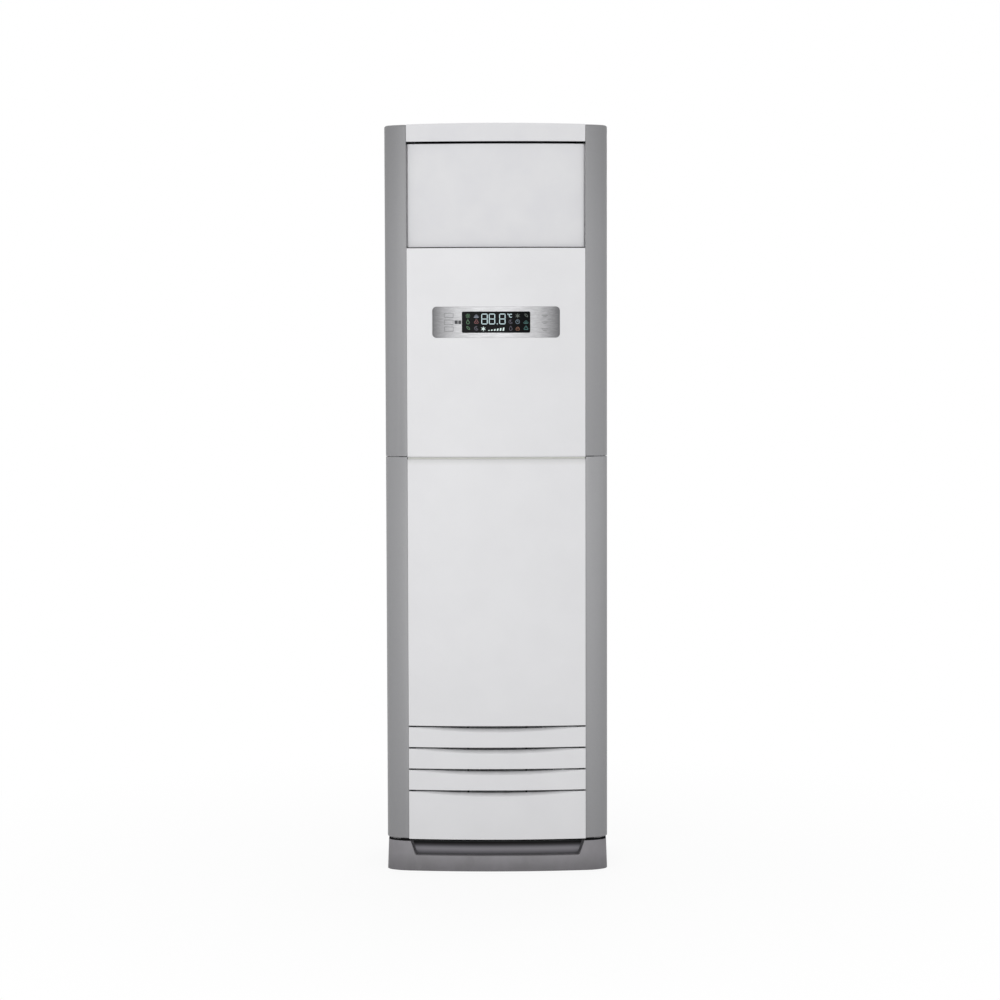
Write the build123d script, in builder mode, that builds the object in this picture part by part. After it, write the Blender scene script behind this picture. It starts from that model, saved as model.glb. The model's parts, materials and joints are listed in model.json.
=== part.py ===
from build123d import *
import math
import os

# A floor standing air conditioner, upright, front towards -Y and +X to its right.
# Origin: centre of the footprint on the floor, +Z up. All lengths are millimetres.

os.makedirs("parts", exist_ok=True)

# ---------------------------------------------------------------- driving sizes
width = 505.0
depth = 315.0
height = 1700.0

bow = 14.0                   # how far the white front swells forward of its own side edges
pillar_wide = 50.0           # width of each grey pillar seen from the front
panel_gap = 0.5              # between the white front and each grey pillar
pillar_corner = 28.0         # radius of a pillar's outer corner
pillar_turn = 36.0           # degrees a pillar's face has turned back where that corner begins
pillar_depth = 65.5          # how far a pillar's side wall reaches behind the front
pillar_flange = 26.5         # how far a pillar's inner flange reaches behind the front

plinth_height = 68.0
plinth_lean = 2.1            # degrees its walls lean inwards as they rise
plinth_gap = 5.5             # between the plinth and the lower front panel
outlet_drop = 280.0          # from the very top down to the top edge of the upper front panel
cap_drop = 40.5              # from the very top down to the lower edge of the cap's lip
seam_drop = 754.5            # from the very top down to the joint between the two front panels
seam_gap = 3.0               # between the two white panels there
pillar_seam = 1.6            # between the grey pillars there
pillar_seam_rise = 3.5       # of the pillars' joint above the panels' joint
crown = 2.0                  # rise of the cap's top edge from its ends to its middle

panel_wall = 3.0             # moulded front panels
pillar_wall = 3.0
cap_wall = 2.5
sheet = 1.0                  # steel side and back panels
frame_sheet = 1.2            # steel frame pieces and brackets
seat = 0.3                   # between fixed pieces that are fastened to each other
play = 0.4                   # between a fixed piece and the steel case around it
past = 1.0                   # how far a cutting shape runs past the face it cuts
bite = 1.0                   # how far inside a wall a shape that grows out of it starts
pin_play = 0.06              # radial clearance of a pin or shaft that turns in its hole

front = -depth / 2
back = depth / 2
half_width = width / 2
panel_half = half_width - pillar_wide - panel_gap         # half the width of the white front
seam_height = height - seam_drop
outlet_low = height - outlet_drop
outlet_high = height - cap_drop
bow_radius = (panel_half**2 + bow**2) / (2 * bow)

# The steel case, from the outside in.
side_out = half_width - pillar_wall - 0.7
side_in = side_out - sheet
frame_half = side_in - play
side_flange_front = front + 36.2          # front face of each side panel's front flange
side_flange_back = side_flange_front + sheet
case_corner_x = half_width - 16.5         # the case's front corners are cut off inside the pillars
case_corner_y = front + 57.0
back_face = back - 1.8                    # outer face of the back panels
back_inner = back_face - sheet
rear_flange = back_inner - seat           # outer face of the side panels' rear flanges
bracket_half = 58.0                       # half the width of the wall bracket at the top of the back
case_low = plinth_height + play           # lower edge of the side and back panels
case_high = height - 10.0                 # upper edge of the side and back panels

lower_panel_low = plinth_height + plinth_gap
lower_panel_high = seam_height - seam_gap / 2
upper_panel_low = seam_height + seam_gap / 2


def front_at(x):
    """Y of the bowed front face at x."""
    return front + bow_radius - math.sqrt(bow_radius**2 - x**2)


def block(x0, x1, y0, y1, z0, z1, mode=Mode.ADD):
    """Adds to the open part the box between three pairs of limits."""
    with Locations(((x0 + x1) / 2, (y0 + y1) / 2, (z0 + z1) / 2)):
        Box(abs(x1 - x0), abs(y1 - y0), abs(z1 - z0), mode=mode)


def rod(start, end, radius, mode=Mode.ADD):
    """Adds to the open part a round bar between two points."""
    axis_plane = Plane(origin=start, z_dir=Vector(end) - Vector(start))
    with BuildSketch(axis_plane, mode=Mode.PRIVATE) as section:
        Circle(radius)
    extrude(section.sketch, amount=(Vector(end) - Vector(start)).length, mode=mode)


def bowed_band(half, near, far):
    """Draws in the open sketch the strip of the bowed front between two depths behind its face."""
    edge = front_at(half)
    with BuildLine() as outline:
        near_arc = ThreePointArc((-half, edge + near), (0, front + near), (half, edge + near))
        far_arc = ThreePointArc((-half, edge + far), (0, front + far), (half, edge + far))
        Line(near_arc @ 0, far_arc @ 0)
        Line(near_arc @ 1, far_arc @ 1)
    make_face(outline.edges())


def bowed_wall(half, near, far, low, high, mode=Mode.ADD):
    """Adds to the open part an upright bowed wall between two heights."""
    with BuildSketch(Plane.XY.offset(low), mode=Mode.PRIVATE) as plan:
        bowed_band(half, near, far)
    extrude(plan.sketch, amount=high - low, mode=mode)


def trim_to_rounded(wide, tall, middle, radius):
    """Keeps of the open part what lies inside a rounded rectangle seen from the front."""
    with BuildSketch(Plane.XZ, mode=Mode.PRIVATE) as view:
        with Locations((0, middle)):
            RectangleRounded(wide, tall, radius)
    extrude(view.sketch, amount=depth, both=True, mode=Mode.INTERSECT)


# ---------------------------------------------------------------- grey corner pillars
pillar_x = panel_half + panel_gap
pillar_start = front_at(pillar_x)
face_slope = math.degrees(math.asin(pillar_x / bow_radius))
corner_reach = pillar_corner * (1 - math.sin(math.radians(pillar_turn)))
pillar_face = (half_width - pillar_x - corner_reach) / (
    math.sin(math.radians(pillar_turn)) - math.sin(math.radians(face_slope))
)
pillar_back = front + pillar_depth
pillar_flange_back = front + pillar_flange
web_back = side_flange_front - seat
web_inner = pillar_x + 13.0               # a web starts clear of the door's guide
web = 3.0
pillar_top = height - crown - 0.5
pillar_top_round = 5.0


def pillar_path():
    """Draws in the open line the outside of the right pillar, from its side edge of the front."""
    face = JernArc(
        start=(pillar_x, pillar_start),
        tangent=(math.cos(math.radians(face_slope)), math.sin(math.radians(face_slope))),
        radius=pillar_face,
        arc_size=pillar_turn - face_slope,
    )
    corner = JernArc(
        start=face @ 1, tangent=face % 1, radius=pillar_corner, arc_size=90 - pillar_turn
    )
    Line(corner @ 1, (half_width, pillar_back))


def pillar_slab(low, thick, inner, rear):
    """Adds to the open part a slab of the pillar's whole section, outside an x and before a y."""
    with BuildSketch(Plane.XY.offset(low), mode=Mode.PRIVATE) as plan:
        with BuildLine():
            pillar_path()
            Polyline((half_width, pillar_back), (pillar_x, pillar_back), (pillar_x, pillar_start))
        make_face()
        with Locations(((inner + half_width) / 2, (front + rear) / 2)):
            Rectangle(half_width - inner, rear - front, mode=Mode.INTERSECT)
    extrude(plan.sketch, amount=thick)


def pillar(low, high, web_heights, rounded_top):
    """Makes the right pillar between two heights, with webs that meet the side panel's flange."""
    with BuildPart() as shell:
        with BuildSketch(Plane.XY.offset(low)):
            with BuildLine():
                Line((pillar_x, pillar_flange_back), (pillar_x, pillar_start))
                pillar_path()
                offset(amount=pillar_wall, side=Side.LEFT, kind=Kind.INTERSECTION)
            make_face()
        extrude(amount=high - low)
        for web_low in web_heights:
            pillar_slab(web_low, web, web_inner, web_back)
        if rounded_top:
            top_thick = pillar_top_round + 1.0
            pillar_slab(high - top_thick, top_thick, pillar_x, pillar_back)
            top_edges = shell.faces().sort_by(Axis.Z)[-1].edges().filter_by(GeomType.CIRCLE)
            fillet(top_edges, pillar_top_round)
    return shell.part


door_recess = 12.0                        # of the outlet door behind the white front
door_wall = 3.0
guide_low = outlet_low - 237.0
guide_high = outlet_high + 4.5
panel_return = 26.5                       # depth of the lower panel's side returns
upper_return = 8.5                        # depth of the upper panel's, in front of the door's path
return_wall = 2.5

web_step = 110.0                          # from the joint up to the upper pillar's second web
upper_webs = [seam_height + 6.0, seam_height + web_step, guide_low - 15.0]
lower_webs = [lower_panel_low + 2.0, 360.0, 650.0, seam_height - 8.0]
pillar_foot = lower_panel_low + 0.9
pillar_joint = seam_height + pillar_seam_rise

right_upper = pillar(pillar_joint + pillar_seam / 2, pillar_top, upper_webs, True)
with BuildPart() as upper_right_pillar:
    add(right_upper)
upper_right_pillar.part.label = "upper_right_pillar"
export_step(upper_right_pillar.part, "parts/upper_right_pillar.step")

with BuildPart() as upper_left_pillar:
    mirror(right_upper, about=Plane.YZ)
upper_left_pillar.part.label = "upper_left_pillar"
export_step(upper_left_pillar.part, "parts/upper_left_pillar.step")

right_lower = pillar(pillar_foot, pillar_joint - pillar_seam / 2, lower_webs, False)
with BuildPart() as lower_right_pillar:
    add(right_lower)
lower_right_pillar.part.label = "lower_right_pillar"
export_step(lower_right_pillar.part, "parts/lower_right_pillar.step")

with BuildPart() as lower_left_pillar:
    mirror(right_lower, about=Plane.YZ)
lower_left_pillar.part.label = "lower_left_pillar"
export_step(lower_left_pillar.part, "parts/lower_left_pillar.step")


# ---------------------------------------------------------------- top cover
cover_plate = 3.0
cover_skirt = 17.0
cover_top = height - crown
skirt_wall = 2.0
skirt_seat = 0.2                          # between the rear skirt and the back panel
bracket_room = 2.0                        # between the rear skirt and the wall bracket
middle_skirt = 9.0                        # height of the rear skirt above the wall bracket
cover_set = 0.5                           # the flat top and the lip start this far behind the front face
lip_deep = 9.0
lip_thick = 2.0

with BuildPart() as top_cover:
    bowed_wall(panel_half, 0, cap_wall, outlet_high, height)
    with BuildSketch(Plane.XZ):
        with BuildLine():
            rise = ThreePointArc((-panel_half, cover_top), (0, height), (panel_half, cover_top))
            Polyline(rise @ 1, (panel_half, height + past), (-panel_half, height + past), rise @ 0)
        make_face()
    extrude(amount=depth, both=True, mode=Mode.SUBTRACT)
    # The flat top, between the pillars in front and over the whole case behind them.
    bowed_wall(panel_half, cover_set, bow + pillar_depth, cover_top - cover_plate, cover_top)
    block(
        -side_out - skirt_wall, side_out + skirt_wall,
        pillar_back + play, back, cover_top - cover_plate, cover_top,
    )
    for side in (-1, 1):
        block(
            side * (side_out + seat), side * (side_out + skirt_wall),
            pillar_back + play, back, cover_top - cover_skirt, cover_top,
        )
        block(
            side * (bracket_half + bracket_room), side * (side_out + skirt_wall),
            back_face + skirt_seat, back, cover_top - cover_skirt, cover_top,
        )
    block(
        -bracket_half - bracket_room, bracket_half + bracket_room,
        back_face + skirt_seat, back, cover_top - middle_skirt, cover_top,
    )
    # A lip behind the front edge stiffens it.
    bowed_wall(panel_half - bite, cover_set, lip_deep, outlet_high, outlet_high + lip_thick)
top_cover.part.label = "top_cover"
export_step(top_cover.part, "parts/top_cover.step")


# ---------------------------------------------------------------- upper front panel and display
plate_wide = 288.0
plate_tall = 70.0
plate_thick = 1.2
plate_middle = outlet_low - 167.0
plate_corner = 9.0
plate_seat = 0.1                          # between the plate and the floor of its opening
lens_wide = 154.0
lens_tall = 47.5
lens_thick = 3.0
lens_corner = 3.0
housing_rim = 7.0                         # how far the display housing reaches past the lens
housing_wall = 1.5
housing_front = panel_wall + 0.2
housing_back = door_recess - 1.5
edge_round = 1.8
ledge_thick = 2.5
groove_shelf_low = upper_panel_low + 3.0
groove_lip_front = panel_wall + 0.5
groove_lip_back = groove_lip_front + 2.0
groove_lip_drop = 9.0
groove_inset = 4.0                        # of the groove's shelf and lip from the panel's side edges


def front_edge(part_faces, highest):
    """The bowed outer edge at the top or the foot of a front panel."""
    end_face = part_faces.sort_by(Axis.Z)[-1 if highest else 0]
    return end_face.edges().filter_by(GeomType.CIRCLE).sort_by(Axis.Y)[0]


with BuildPart() as display_opening:
    bowed_wall(
        plate_wide / 2 + past, -past, plate_thick + plate_seat,
        plate_middle - plate_tall, plate_middle + plate_tall,
    )
    trim_to_rounded(plate_wide + 2 * seat, plate_tall + 2 * seat, plate_middle, plate_corner + seat)

with BuildPart() as lens_opening:
    bowed_wall(
        lens_wide / 2 + past, -past, 2 * panel_wall,
        plate_middle - plate_tall, plate_middle + plate_tall,
    )
    trim_to_rounded(lens_wide + 2 * seat, lens_tall + 2 * seat, plate_middle, lens_corner + seat)

with BuildPart() as upper_front_panel:
    bowed_wall(panel_half, 0, panel_wall, upper_panel_low, outlet_low)
    fillet(front_edge(upper_front_panel.faces(), False), edge_round)
    for side in (-1, 1):
        block(
            side * (panel_half - return_wall), side * panel_half,
            front_at(panel_half) + bite, front_at(panel_half) + upper_return,
            groove_shelf_low, outlet_low,
        )
    # The ledge behind the top edge, and the lip that closes the groove below.
    bowed_wall(panel_half, bite, housing_back, outlet_low - ledge_thick, outlet_low)
    bowed_wall(
        panel_half - groove_inset, panel_wall / 2, groove_lip_back,
        groove_shelf_low, groove_shelf_low + ledge_thick,
    )
    bowed_wall(
        panel_half - groove_inset, groove_lip_front, groove_lip_back,
        upper_panel_low - groove_lip_drop, groove_shelf_low + ledge_thick,
    )
    add(display_opening.part, mode=Mode.SUBTRACT)
    add(lens_opening.part, mode=Mode.SUBTRACT)
upper_front_panel.part.label = "upper_front_panel"
export_step(upper_front_panel.part, "parts/upper_front_panel.step")

with BuildPart() as display_plate:
    bowed_wall(
        plate_wide / 2 + past, 0, plate_thick, plate_middle - plate_tall, plate_middle + plate_tall
    )
    trim_to_rounded(plate_wide, plate_tall, plate_middle, plate_corner)
    add(lens_opening.part, mode=Mode.SUBTRACT)
display_plate.part.label = "display_plate"
export_step(display_plate.part, "parts/display_plate.step")

with BuildPart() as display_lens:
    bowed_wall(
        lens_wide / 2 + past, 0, lens_thick, plate_middle - plate_tall, plate_middle + plate_tall
    )
    trim_to_rounded(lens_wide, lens_tall, plate_middle, lens_corner)
display_lens.part.label = "display_lens"
export_step(display_lens.part, "parts/display_lens.step")

housing_half = lens_wide / 2 + housing_rim
housing_tall = lens_tall / 2 + housing_rim
with BuildPart() as display_housing:
    bowed_wall(
        housing_half, housing_front, housing_back,
        plate_middle - housing_tall, plate_middle + housing_tall,
    )
    with BuildSketch(Plane.XY.offset(plate_middle - housing_tall + housing_wall)):
        bowed_band(housing_half - housing_wall, housing_front - past, housing_back - housing_wall)
    extrude(amount=2 * (housing_tall - housing_wall), mode=Mode.SUBTRACT)
display_housing.part.label = "display_housing"
export_step(display_housing.part, "parts/display_housing.step")

board_thick = 1.2
board_half = lens_wide / 2 + 2
board_front = front_at(board_half) + housing_front + seat
led_block_half = 58.0
led_block_tall = 34.0
with BuildPart() as display_board:
    block(
        -board_half, board_half, board_front, board_front + board_thick,
        plate_middle - lens_tall / 2, plate_middle + lens_tall / 2,
    )
    block(
        -led_block_half, led_block_half,
        front_at(led_block_half) + lens_thick + seat, board_front + board_thick / 2,
        plate_middle - led_block_tall / 2, plate_middle + led_block_tall / 2,
    )
display_board.part.label = "display_board"
export_step(display_board.part, "parts/display_board.step")


# ---------------------------------------------------------------- lower front panel
slit_count = 4
slit_pitch = 49.2
lowest_slit = 182.9                       # height of the lowest slit's lower edge
slit_gap = 4.0                            # height of each slit
slat_rise = 10.5                          # of each slat's sloping top, from the front's swell to its ends
slat_thick = 3.5
slat_half = panel_half - bite
slat_reach = 10.0                         # depth of each slat behind the front's middle
slat_end_reach = 4.0                      # and behind its side edges
slit_lows = [lowest_slit + n * slit_pitch for n in range(slit_count)]
rail_inner = panel_half - 16.0
rail_thick = 1.5
filter_low = 140.0
filter_high = 380.0
filter_room = 3.5                         # between the ends of the slats and the filter's frame
filter_front = front + bow + slat_end_reach + filter_room
filter_thick = 6.0
rail_front = filter_front + filter_thick + seat
rail_foot = 3.0                           # how far the rails reach below the filter's frame
rail_rise = 4.0                           # and above it
return_back = front + panel_return
return_drop = 8.0                         # from the lower panel's top edge down to its side returns

with BuildPart() as slats:
    for slit_low in slit_lows:
        lip = slit_low - slat_rise
        with BuildSketch(Plane.YZ):
            with BuildLine():
                Polyline(
                    (front, lip), (front + bow, slit_low), (front + 2 * bow, slit_low),
                    (front + 2 * bow, slit_low - slat_thick), (front + bow, slit_low - slat_thick),
                    (front, lip - slat_thick),
                    close=True,
                )
            make_face()
        extrude(amount=slat_half, both=True)
    with BuildSketch(Plane.XY, mode=Mode.PRIVATE) as slat_plan:
        with BuildLine() as slat_outline:
            slat_edge = front_at(slat_half)
            slat_front = ThreePointArc((-slat_half, slat_edge), (0, front), (slat_half, slat_edge))
            slat_back = ThreePointArc(
                (-slat_half, slat_edge + slat_end_reach), (0, front + slat_reach),
                (slat_half, slat_edge + slat_end_reach),
            )
            Line(slat_front @ 0, slat_back @ 0)
            Line(slat_front @ 1, slat_back @ 1)
        make_face(slat_outline.edges())
    extrude(slat_plan.sketch, amount=seam_height, mode=Mode.INTERSECT)

with BuildPart() as lower_front_panel:
    bowed_wall(panel_half, 0, panel_wall, lower_panel_low, lower_panel_high)
    fillet(front_edge(lower_front_panel.faces(), True), edge_round)
    for slit_low in slit_lows:
        lip = slit_low - slat_rise
        with BuildSketch(Plane.YZ):
            with BuildLine():
                Polyline(
                    (front - past, lip - past * slat_rise / bow), (front + bow, slit_low),
                    (front + 2 * bow, slit_low), (front + 2 * bow, slit_low + slit_gap),
                    (front - past, slit_low + slit_gap),
                    close=True,
                )
            make_face()
        extrude(amount=panel_half + past, both=True, mode=Mode.SUBTRACT)
    add(slats.part)
    for side in (-1, 1):
        block(
            side * (panel_half - return_wall), side * panel_half,
            front_at(panel_half) + bite, return_back, lower_panel_low, lower_panel_high - return_drop,
        )
        # The rail and its foot that the filter's frame slides into.
        block(
            side * rail_inner, side * (panel_half - bite), rail_front, rail_front + rail_thick,
            filter_low - rail_foot, filter_high + rail_rise,
        )
        block(
            side * rail_inner, side * (panel_half - bite), filter_front, rail_front + rail_thick,
            filter_low - rail_foot, filter_low - seat,
        )
lower_front_panel.part.label = "lower_front_panel"
export_step(lower_front_panel.part, "parts/lower_front_panel.step")

filter_half = panel_half - return_wall - seat
filter_border = 13.0
filter_bar = 4.0
grip_x = 60.0
grip_half = 12.0
grip_tall = 12.0
grip_inset = 1.0                          # of the grips from the frame's two faces
net_thick = 0.8
net_front = filter_front + (filter_thick - net_thick) / 2
net_seat = 3.0                            # how far the net reaches into the frame's groove
net_play = 0.2
net_columns = 20
net_rows = 12
net_half = filter_half - filter_border + net_seat
net_low = filter_low + filter_border - net_seat
net_high = filter_high - filter_border + net_seat
net_bar = 2.2

with BuildPart() as filter_frame:
    block(
        -filter_half, filter_half, filter_front, filter_front + filter_thick, filter_low, filter_high
    )
    block(
        -filter_half + filter_border, filter_half - filter_border,
        filter_front, filter_front + filter_thick,
        filter_low + filter_border, filter_high - filter_border, mode=Mode.SUBTRACT,
    )
    for bar in (-1, 1):
        bar_x = bar * filter_half / 3
        block(
            bar_x - filter_bar / 2, bar_x + filter_bar / 2,
            filter_front, filter_front + filter_thick,
            filter_low + bite, filter_high - bite,
        )
    block(
        -net_half - net_play, net_half + net_play,
        net_front - net_play, net_front + net_thick + net_play,
        net_low - net_play, net_high + net_play, mode=Mode.SUBTRACT,
    )
    for side in (-1, 1):
        block(
            side * grip_x - grip_half, side * grip_x + grip_half,
            filter_front + grip_inset, filter_front + filter_thick - grip_inset,
            filter_high, filter_high + grip_tall,
        )
filter_frame.part.label = "filter_frame"
export_step(filter_frame.part, "parts/filter_frame.step")

net_pitch_x = (2 * net_half - net_bar) / net_columns
net_pitch_z = (net_high - net_low - net_bar) / net_rows
with BuildPart() as filter_net:
    with BuildSketch(Plane.XZ.offset(-net_front)):
        with Locations((0, (net_low + net_high) / 2)):
            Rectangle(2 * net_half, net_high - net_low)
            with GridLocations(net_pitch_x, net_pitch_z, net_columns, net_rows):
                Rectangle(net_pitch_x - net_bar, net_pitch_z - net_bar, mode=Mode.SUBTRACT)
    extrude(amount=-net_thick)
filter_net.part.label = "filter_net"
export_step(filter_net.part, "parts/filter_net.step")


# ---------------------------------------------------------------- plinth
recess_half = panel_half - 3.0
recess_low = 35.5
recess_depth = 14.0
recess_draft = 11.0                      # how far each end of the recess slants in on its way down
recess_corner = 6.0
recess_wall = 2.4
plinth_side = frame_half + 0.2            # inside of the plinth's side walls, round the base pan
plinth_wall = half_width - plinth_side
plinth_back = back - 9.0                  # its side walls end here, open at the back
side_wall_fade = 51.0                     # the cut through the open back reaches this far forward

with BuildPart() as recess_room:
    with BuildSketch(Plane.XZ):
        with BuildLine():
            Polyline(
                (recess_draft - recess_half, recess_low), (-recess_half, plinth_height),
                (-recess_half, plinth_height + past), (recess_half, plinth_height + past),
                (recess_half, plinth_height), (recess_half - recess_draft, recess_low),
                close=True,
            )
        recess_view = make_face()
        fillet(recess_view.vertices().sort_by(Axis.Z)[:2], recess_corner)
    extrude(amount=depth, both=True)
    bowed_wall(
        recess_half + past, -past, recess_depth, 0, plinth_height + 2 * past, mode=Mode.INTERSECT
    )


def case_plan():
    """Draws in the open sketch the whole outline of the case seen from above."""
    with BuildLine() as outline:
        ThreePointArc((-pillar_x, pillar_start), (0, front), (pillar_x, pillar_start))
        with BuildLine(mode=Mode.PRIVATE) as right_side:
            pillar_path()
        add(right_side.line)
        mirror(right_side.line, about=Plane.YZ)
        Polyline(
            (half_width, pillar_back), (half_width, back),
            (-half_width, back), (-half_width, pillar_back),
        )
    make_face(outline.edges())


with BuildPart() as plinth:
    with BuildSketch(Plane.XY):
        case_plan()
    extrude(amount=plinth_height, taper=plinth_lean)
    block(
        -half_width, half_width, plinth_back, back + past,
        -past, plinth_height + past, mode=Mode.SUBTRACT,
    )
    with BuildSketch(Plane.XY):
        case_plan()
        offset(amount=-plinth_wall)
        with Locations((0, plinth_back)):
            Rectangle(2 * plinth_side, back - plinth_back + side_wall_fade)
    extrude(amount=plinth_height + past, mode=Mode.SUBTRACT)
    bowed_wall(
        recess_half + recess_wall, panel_wall, recess_depth + recess_wall,
        recess_low - recess_wall, plinth_height,
    )
    add(recess_room.part, mode=Mode.SUBTRACT)
plinth.part.label = "plinth"
export_step(plinth.part, "parts/plinth.step")


# ---------------------------------------------------------------- base pan and steel case
pan_floor = 8.0
pan_rise = 110.0
pan_front_rise = 60.0
pan_front = side_flange_back + 0.5
pan_back = rear_flange - sheet - play
fixing_x = frame_half - 57.4
fixing_y = back - 57.5
fixing_hole = 5.0
corner_room = 1.0                         # between the frame pieces and the case's cut corners


def frame_plan():
    """Draws in the open sketch the room inside the steel case, with its cut front corners."""
    with BuildLine() as outline:
        Polyline(
            (-frame_half, pan_back), (-frame_half, case_corner_y + corner_room),
            (-case_corner_x + corner_room, pan_front), (case_corner_x - corner_room, pan_front),
            (frame_half, case_corner_y + corner_room), (frame_half, pan_back),
            close=True,
        )
    make_face(outline.edges())


with BuildPart() as base_pan:
    with BuildSketch(Plane.XY):
        frame_plan()
    extrude(amount=pan_rise)
    for room_low, room_high in ((-past, pan_floor), (pan_floor + frame_sheet, pan_rise + past)):
        with BuildSketch(Plane.XY.offset(room_low)):
            frame_plan()
            offset(amount=-frame_sheet, kind=Kind.INTERSECTION)
        extrude(amount=room_high - room_low, mode=Mode.SUBTRACT)
    block(
        -frame_half - past, frame_half + past, pan_front - past, case_corner_y + 2 * corner_room,
        pan_front_rise, pan_rise + past, mode=Mode.SUBTRACT,
    )
    with BuildSketch(Plane.XY.offset(pan_floor)):
        with GridLocations(2 * fixing_x, 2 * fixing_y, 2, 2):
            Circle(fixing_hole)
    extrude(amount=frame_sheet, mode=Mode.SUBTRACT)
base_pan.part.label = "base_pan"
export_step(base_pan.part, "parts/base_pan.step")

side_flange_inner = side_out - 26.8
rear_flange_inner = side_out - 20.8
vent_long = 110.0
vent_tall = 6.0
vent_pitch = 24.0
vent_rows = 12
vent_middle_y = 20.0
vent_middle_z = 290.0
back_seam = seam_height - 40.5
screw_x = side_out - 10.8
screw_foot = 61.6                         # from the lower edge of the back up to its first screws
screw_head_end = 90.0                     # from its upper edge down to its last screws
screw_seam_end = 45.0                     # from the seam of the back to the screws beside it
screw_drop = 380.0                        # between the lower back panel's upper and middle screws
screw_rise = 350.0                        # between the upper back panel's lower and middle screws
screw_heights = (
    case_low + screw_foot, back_seam - screw_seam_end - screw_drop, back_seam - screw_seam_end,
    back_seam + screw_seam_end, back_seam + screw_seam_end + screw_rise, case_high - screw_head_end,
)
screw_radius = 1.9
screw_play = 0.1
screw_head_radius = 3.8
screw_head = 1.6
screw_length = 10.0
screw_seat = 0.05                         # between a screw's head and the back panel

with BuildPart() as right_side_panel:
    with BuildSketch(Plane.XY.offset(case_low)):
        with BuildLine():
            Polyline(
                (side_flange_inner, side_flange_front), (case_corner_x, side_flange_front),
                (side_out, case_corner_y), (side_out, rear_flange), (rear_flange_inner, rear_flange),
            )
            offset(amount=sheet, side=Side.LEFT, kind=Kind.INTERSECTION)
        make_face()
    extrude(amount=case_high - case_low)
    with BuildSketch(Plane.YZ.offset(side_in)):
        with Locations((vent_middle_y, vent_middle_z)):
            with GridLocations(1, vent_pitch, 1, vent_rows):
                SlotOverall(vent_long, vent_tall)
    extrude(amount=sheet, mode=Mode.SUBTRACT)
    for screw_z in screw_heights:
        rod(
            (screw_x, rear_flange - sheet, screw_z), (screw_x, rear_flange, screw_z),
            screw_radius + screw_play, Mode.SUBTRACT,
        )
right_side_panel.part.label = "right_side_panel"
export_step(right_side_panel.part, "parts/right_side_panel.step")

with BuildPart() as left_side_panel:
    mirror(right_side_panel.part, about=Plane.YZ)
left_side_panel.part.label = "left_side_panel"
export_step(left_side_panel.part, "parts/left_side_panel.step")

back_gap = 0.5
pipe_hole = 36.0
pipe_x = half_width - 112.5
pipe_z = 175.0
cable_hole = 11.0
cable_x = 50.0
bracket_low = case_high - 47.0
bracket_clear = 1.0                       # between the wall bracket and the edge of its notch


def screw_holes(heights):
    """Cuts the screw holes in the open back panel."""
    for screw_z in heights:
        for side in (-1, 1):
            rod(
                (side * screw_x, back_inner, screw_z), (side * screw_x, back_face, screw_z),
                screw_radius + screw_play, Mode.SUBTRACT,
            )


with BuildPart() as lower_back_panel:
    block(-side_out, side_out, back_inner, back_face, case_low, back_seam - back_gap / 2)
    screw_holes(screw_heights[:3])
    rod((pipe_x, back_inner, pipe_z), (pipe_x, back_face, pipe_z), pipe_hole, Mode.SUBTRACT)
    rod((cable_x, back_inner, pipe_z), (cable_x, back_face, pipe_z), cable_hole, Mode.SUBTRACT)
lower_back_panel.part.label = "lower_back_panel"
export_step(lower_back_panel.part, "parts/lower_back_panel.step")

with BuildPart() as upper_back_panel:
    block(-side_out, side_out, back_inner, back_face, back_seam + back_gap / 2, case_high)
    screw_holes(screw_heights[3:])
    block(
        -bracket_half - bracket_clear, bracket_half + bracket_clear, back_inner, back_face,
        bracket_low - bracket_clear, case_high, mode=Mode.SUBTRACT,
    )
upper_back_panel.part.label = "upper_back_panel"
export_step(upper_back_panel.part, "parts/upper_back_panel.step")

bracket_thick = 2.0
bracket_tab = 23.0                        # how far the bracket reaches down behind the back panel
bracket_fold = 12.0                       # how far its two leaves overlap
bracket_head = 2.0                        # from the case's upper edge down to its own
bracket_hole_x = 40.0
bracket_hole_z = case_high - 22.0
bracket_hole = 4.0
with BuildPart() as wall_bracket:
    block(
        -bracket_half, bracket_half, back_face - bracket_thick, back_face,
        bracket_low, case_high - bracket_head,
    )
    block(
        -bracket_half, bracket_half, back_inner - seat - bracket_thick, back_inner - seat,
        bracket_low - bracket_tab, bracket_low + bracket_fold,
    )
    for side in (-1, 1):
        rod(
            (side * bracket_hole_x, back_face - bracket_thick, bracket_hole_z),
            (side * bracket_hole_x, back_face, bracket_hole_z),
            bracket_hole, Mode.SUBTRACT,
        )
wall_bracket.part.label = "wall_bracket"
export_step(wall_bracket.part, "parts/wall_bracket.step")

with BuildPart() as case_screws:
    for screw_z in screw_heights:
        for side in (-1, 1):
            rod(
                (side * screw_x, back_face - screw_length, screw_z),
                (side * screw_x, back_face + screw_head / 2, screw_z), screw_radius,
            )
            rod(
                (side * screw_x, back_face + screw_seat, screw_z),
                (side * screw_x, back_face + screw_head, screw_z), screw_head_radius,
            )
case_screws.part.label = "case_screws"
export_step(case_screws.part, "parts/case_screws.step")

pipe_bore = 30.0
cable_bore = 6.5
grommet_lip = 4.0
grommet_front = back_inner - seat - 3.0
grommet_back = back_face + 1.0
grommet_play = 0.2
with BuildPart() as grommets:
    for hole_x, hole, bore in ((pipe_x, pipe_hole, pipe_bore), (cable_x, cable_hole, cable_bore)):
        inner_end = (hole_x, grommet_front, pipe_z)
        outer_end = (hole_x, grommet_back, pipe_z)
        rod(inner_end, outer_end, hole - grommet_play)
        rod(inner_end, (hole_x, back_inner - seat, pipe_z), hole + grommet_lip)
        rod(inner_end, outer_end, bore, Mode.SUBTRACT)
grommets.part.label = "grommets"
export_step(grommets.part, "parts/grommets.step")


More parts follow.
